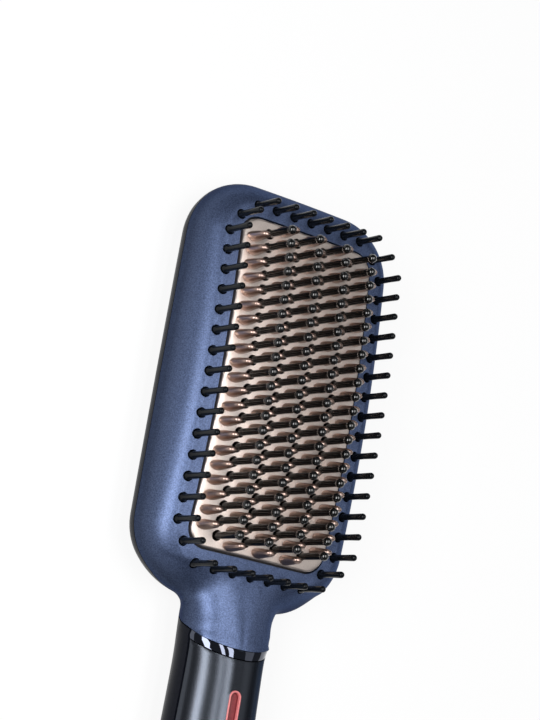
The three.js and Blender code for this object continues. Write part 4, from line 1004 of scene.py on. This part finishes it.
def pin_frame(bm):
    """The flat ring under the shell that all the pins stand on."""
    reach = PIN_FRAME_WIDTH / 2

    def loop(grow, drop):
        outline = rounded_rectangle(COLUMN_X + grow, half_y + grow, PIN_FRAME_CORNER + grow, 8, middle_y)
        return [(x, y, crown(x, y) - WALL - PIN_FRAME_DROP - drop) for x, y in outline]

    deep = PIN_FRAME_THICKNESS
    corners = [(reach, 0), (-reach, 0), (-reach, deep), (reach, deep), (reach, 0)]
    loft(bm, [loop(*corner) for corner in corners])
    join_up(bm)


bm = bmesh.new()
pin_frame(bm)
add_copies(bm, spun(pin_profile, PIN_SIDES, "border_pin"), pin_places, crown)
finish_piece(new_object(bm, "border_pins"), "brush", "border_bristles", "pin_black")

# %% Ball-tipped bristles
BALL_CENTRE, BALL_RADIUS, STEM_RADIUS, BRISTLE_SIDES = 13.0, 1.47, 1.12, 16
CARRIER_TOP, CARRIER_THICKNESS, CARRIER_HALF, CARRIER_END = -6.4, 2.2, 1.95, 1.7

stem_top = STEM_RADIUS * 0.9
stem_profile = [(0, CARRIER_TOP - 1), (STEM_RADIUS + 0.1, CARRIER_TOP - 1), (STEM_RADIUS + 0.06, 0),
                (STEM_RADIUS, 4), (STEM_RADIUS - 0.05, 9), (stem_top, BALL_CENTRE - 0.9),
                (0, BALL_CENTRE - 0.7)]
ball_profile = [(0, BALL_CENTRE - 0.95)]
ball_profile += round_end(BALL_RADIUS, BALL_CENTRE, -acos(stem_top / BALL_RADIUS), 8)

bm = bmesh.new()
last_row, last_column = ROW_PITCH * (BALL_ROWS - 1) / 2, COLUMN_PITCH * BALL_COLUMNS[-1]
bars = [(side * column * COLUMN_PITCH, 0, CARRIER_HALF, last_row + CARRIER_END) for column in BALL_COLUMNS
        for side in (1, -1)]
bars += [(0, side * last_row, last_column + CARRIER_HALF, CARRIER_END) for side in (1, -1)]
for x, y, half_x, half_length in bars:
    size = Matrix.Diagonal((2 * half_x, 2 * half_length, CARRIER_THICKNESS, 1))
    place = Matrix.Translation((x, y, CARRIER_TOP - CARRIER_THICKNESS / 2))
    bmesh.ops.create_cube(bm, size=1, matrix=place @ size)
add_copies(bm, spun(stem_profile, BRISTLE_SIDES, "bristle_stem"), ball_places, crown)
finish_piece(new_object(bm, "bristle_stems"), "brush", "ball_bristles", "ball_black")
bm = bmesh.new()
add_copies(bm, spun(ball_profile, BRISTLE_SIDES, "bristle_ball"), ball_places, crown)
finish_piece(new_object(bm, "bristle_balls"), "brush", "ball_bristles", "ball_black")

# %% [markdown]
# ## Slide switch
# The slot has a coral lining with a fine raised lip. Its floor is the top of the sliding strip, which keeps
# its plain solid in a darker coral, a painted shade for the deep floor. The knob is a small pillow with three
# grip ridges, on a stem through the slot.

# %% Slot lining
slot_surface = along(HANDLE_TOPS, SLOT_MIDDLE) - HANDLE_INSET
SLOT_PROUD, SLOT_FLOOR = 0.1, 0.9
LIP_ROUND, LIP_STEPS, LIP_JOIN = 0.18, 3, 0.0005

lip_top = slot_surface + SLOT_PROUD
slot_low = slot_surface - SLOT_FLOOR
lip_levels = [(SLOT_LIP, slot_low), (SLOT_LIP, lip_top - LIP_ROUND)]
for i in range(1, 2 * LIP_STEPS + 1):
    turn = pi / 2 * i / LIP_STEPS
    middle = SLOT_LIP - LIP_ROUND if i <= LIP_STEPS else LIP_ROUND
    lip_levels.append((middle + LIP_ROUND * cos(turn), lip_top - LIP_ROUND + LIP_ROUND * sin(turn)))
lip_levels += [(0, slot_low), lip_levels[0]]
bm = bmesh.new()
loft(bm, [[(x, y, z) for x, y in slot_outline(grow)] for grow, z in lip_levels])
join_up(bm, LIP_JOIN)
finish_piece(new_object(bm, "slot_lining"), "brush", "slot_liner", "coral")

# %% Knob
KNOB_LENGTH, KNOB_WIDTH, KNOB_HEIGHT, KNOB_CORNER = 10.5, 7.6, 2.1, 2.6
KNOB_LEVELS = [
    (0.25, 0), (0, 0.25), (0.1, 0.55 * KNOB_HEIGHT), (0.45, 0.85 * KNOB_HEIGHT), (1.0, KNOB_HEIGHT),
]
RIDGE_RISE, RIDGE_HALF, RIDGE_PITCH, RIDGE_MARGIN = 0.95, 0.62, 2.4, 2.4
STEM_WIDTH, STEM_LENGTH, STEM_REACH = 2.4, 8.0, 0.5
knob_y = SLOT_TOP - SLOT_LENGTH + GAP + KNOB_LENGTH / 2
knob_base = slot_surface + SLOT_PROUD + GAP


def knob_loop(shrink, rise):
    outline = rounded_rectangle(KNOB_WIDTH / 2 - shrink, KNOB_LENGTH / 2 - shrink, KNOB_CORNER - shrink, 8,
                                knob_y)
    return [(x, y, knob_base + rise) for x, y in outline]


bm = bmesh.new()
loft(bm, [knob_loop(*level) for level in KNOB_LEVELS], capped=True)
for y in spread(3, RIDGE_PITCH):
    ridge = Matrix.Translation((0, knob_y + y, knob_base + KNOB_HEIGHT - 0.1))
    ridge = ridge @ Matrix.Rotation(pi / 2, 4, "Y") @ Matrix.Diagonal((RIDGE_RISE, RIDGE_HALF, 1, 1))
    bmesh.ops.create_cone(bm, cap_ends=True, segments=16, radius1=1, radius2=1,
                          depth=KNOB_WIDTH - RIDGE_MARGIN, matrix=ridge)
stem_high = knob_base + STEM_REACH
stem_place = Matrix.Translation((0, knob_y, (slot_low + stem_high) / 2))
stem_size = Matrix.Diagonal((STEM_WIDTH, STEM_LENGTH, stem_high - slot_low, 1))
bmesh.ops.create_cube(bm, size=1, matrix=stem_place @ stem_size)
face_outward(bm)
finish_piece(new_object(bm, "slider_knob"), "switch_slider", "slide_knob", "gunmetal")

# %% [markdown]
# ## Light, end cap and cord gland
# The light is a clear rod whose tip is flush with the handle. The cap closes the handle with a rounded end,
# and the gland turns in it: a ribbed boot that keeps the cord from kinking.

# %% Light
LIGHT_DEPTH, LIGHT_BEVEL, LIGHT_DOME = 14, 0.15, 0.1
light_top = along(HANDLE_TOPS, LIGHT_Y) - HANDLE_INSET
light_profile = [(0, -LIGHT_DEPTH), (LIGHT_RADIUS, -LIGHT_DEPTH), (LIGHT_RADIUS, -LIGHT_BEVEL),
                 (LIGHT_RADIUS - LIGHT_BEVEL, 0), (0, LIGHT_DOME)]
bm = bmesh.new()
add_copies(bm, spun(light_profile, LIGHT_SIDES, "light_rod"), [(0, LIGHT_Y)], lambda x, y: light_top)
finish_piece(new_object(bm, "light_rod_tip"), "brush", "light_guide", "clear_lens")

# %% End cap
CAP_LENGTH, CAP_FIT, CAP_END_SHARE, CAP_SIDES, CAP_STEPS = 8.0, 0.985, 0.62, 72, 14
CAP_WALL, CAP_INSIDE, CAP_EDGE = 2.4, 0.6, 0.3
NECK_RADIUS, BORE_RADIUS, FLANGE_RADIUS, FLANGE_WIDTH = 5.5, 3.1, 6.8, 2.4
BOOT_RADIUS, BOOT_TIP, BOOT_LENGTH, BOOT_RIBS, BOOT_GROOVE, BOOT_EDGE = 6.4, 4.7, 22.0, 3, 0.7, 0.3
RIBBED_SHARE = 0.8
cap_start = HANDLE_END - GAP
cap_end = cap_start - CAP_LENGTH
cap_angles = [2 * pi * i / CAP_SIDES for i in range(CAP_SIDES)]


def cap_section(y, share):
    half_x = along(HANDLE_WIDTHS, y) * share
    up = (along(HANDLE_TOPS, y) - SEAM_Z) * share
    down = BACK_DEPTH * share
    return [(half_x * cos(a), y, SEAM_Z + (up if sin(a) > 0 else down) * sin(a))
            for a in cap_angles]


def bore_circle(y, radius):
    return [(radius * cos(a), y, SEAM_Z + radius * sin(a)) for a in cap_angles]


cap_loops = [cap_section(cap_start, CAP_FIT * 0.9), cap_section(cap_start, CAP_FIT - 0.012),
             cap_section(cap_start - 0.2, CAP_FIT)]
for i in range(1, CAP_STEPS + 1):
    turn = pi / 2 * i / CAP_STEPS
    share = CAP_FIT * mix(CAP_END_SHARE, 1, cos(turn))
    cap_loops.append(cap_section(cap_start - CAP_LENGTH * sin(turn), share))
bore = NECK_RADIUS + 2 * GAP
cap_loops += [bore_circle(cap_end, bore + CAP_EDGE), bore_circle(cap_end + CAP_EDGE, bore),
              bore_circle(cap_end + CAP_WALL, bore), cap_section(cap_end + CAP_WALL, CAP_INSIDE),
              cap_loops[0]]
bm = bmesh.new()
loft(bm, cap_loops)
join_up(bm)
finish_piece(new_object(bm, "cord_end_cap"), "brush", "end_cap", "black_gloss")

# %% Gland
RIB_PROFILE = [(-0.15, 0.35), (0, 0.42), (0, 0.64), (-0.15, 0.7), (-BOOT_GROOVE, 0.76), (-BOOT_GROOVE, 0.98)]
boot_top = cap_end - GAP
boot_end = boot_top - BOOT_LENGTH
flange_low = cap_end + CAP_WALL + GAP
flange_high = flange_low + FLANGE_WIDTH
ribs_end = boot_end + BOOT_LENGTH * RIBBED_SHARE
step = (ribs_end - boot_end) / BOOT_RIBS
gland_profile = [(BORE_RADIUS, boot_end), (BOOT_TIP - BOOT_EDGE, boot_end), (BOOT_TIP, boot_end + BOOT_EDGE)]
for i in range(BOOT_RIBS):
    radius = mix(BOOT_TIP, BOOT_RADIUS, (i + 0.5) / BOOT_RIBS)
    gland_profile += [(radius + rise, boot_end + step * (i + share)) for rise, share in RIB_PROFILE]
gland_profile += [(BOOT_RADIUS, ribs_end + 0.7), (BOOT_RADIUS, boot_top - BOOT_EDGE),
                  (BOOT_RADIUS - BOOT_EDGE, boot_top), (NECK_RADIUS, boot_top), (NECK_RADIUS, flange_low),
                  (FLANGE_RADIUS, flange_low), (FLANGE_RADIUS, flange_high), (BORE_RADIUS, flange_high),
                  (BORE_RADIUS, boot_end)]
bm = bmesh.new()
gland_chain = start_chain(bm, [(radius, y, SEAM_Z) for radius, y in gland_profile])
spin_chain(bm, gland_chain, 48, (0, 0, SEAM_Z), (0, 1, 0))
join_up(bm)
finish_piece(new_object(bm, "cord_boot"), "swivel", "swivel_gland", "gland_rubber")

# %% [markdown]
# ## Floor and light
# The brush lies on a plain white floor. To the camera, and to mirrors and glass, most of the floor's look is
# plain white, and the rest is real shading, so a soft shadow stays. A side strip shines from the left. A
# narrow and a wide strip overhead make the streaks along the handle and the two highlights on each ball, and
# a weak panel fills in from the right.

# %% Floor
FLOOR_COLOR, FLOOR_SHARE, FLOOR_HALF, FLOOR_DROP = (0.86, 0.86, 0.86, 1), 0.88, 3, 0.0002


def floor_material():
    material = bpy.data.materials.new("white_floor")
    material.use_nodes = True
    tree = material.node_tree
    shader = set_inputs(tree.nodes["Principled BSDF"], Base_Color=FLOOR_COLOR, Roughness=0.9,
                        Specular_IOR_Level=0.1)
    path = add_node(tree, "ShaderNodeLightPath")
    seen = add_node(tree, "ShaderNodeMath", operation="MAXIMUM")
    mirrored = add_node(tree, "ShaderNodeMath", operation="MAXIMUM")
    share = add_node(tree, "ShaderNodeMath", operation="MULTIPLY")
    share.inputs[1].default_value = FLOOR_SHARE
    blend = add_node(tree, "ShaderNodeMixShader")
    wire(tree, (path, "Is Camera Ray", seen, 0), (path, "Is Transmission Ray", seen, 1),
         (seen, 0, mirrored, 0), (path, "Is Glossy Ray", mirrored, 1), (mirrored, 0, share, 0),
         (share, 0, blend, "Fac"), (shader, 0, blend, 1),
         (add_node(tree, "ShaderNodeEmission"), 0, blend, 2),
         (blend, 0, tree.nodes["Material Output"], "Surface"))
    return material


bm = bmesh.new()
bmesh.ops.create_grid(bm, x_segments=1, y_segments=1, size=FLOOR_HALF)
floor = new_object(bm, "floor")
floor.location.z = -FLOOR_DROP
floor.data.materials.append(floor_material())

# %% Lamps
LOOK_AT = Vector((0, 0.07, 0.02))


def softbox(name, sideways, lengthwise, distance, size, radiance):
    """An area lamp that leans by degrees from overhead and faces the object."""
    turn = Matrix.Rotation(radians(sideways), 3, "Y")
    turn = turn @ Matrix.Rotation(-radians(lengthwise), 3, "X")
    data = bpy.data.lights.new(name, "AREA")
    width, length = size
    set_all(data, shape="RECTANGLE", size=width, size_y=length, energy=radiance * pi * width * length)
    lamp = bpy.data.objects.new(name, data)
    set_all(lamp, location=LOOK_AT + turn.col[2] * distance, rotation_euler=turn.to_euler())
    lamp.visible_camera = False
    scene.collection.objects.link(lamp)


softbox("side_strip", -49, -8, 0.62, (0.20, 0.52), 10)
softbox("narrow_strip", -8.5, 3, 0.70, (0.10, 0.58), 7)
softbox("wide_strip", 11, 3, 0.70, (0.16, 0.58), 7)
softbox("fill_panel", 52, 5, 1.20, (0.60, 0.90), 0.55)

world = bpy.data.worlds.new("studio")
scene.world = world
world.use_nodes = True
set_inputs(world.node_tree.nodes["Background"], Color=(0.9, 0.93, 1.0, 1), Strength=0.12)
scene.view_settings.view_transform = "Standard"

# %% Update the scene
bpy.context.view_layer.update()
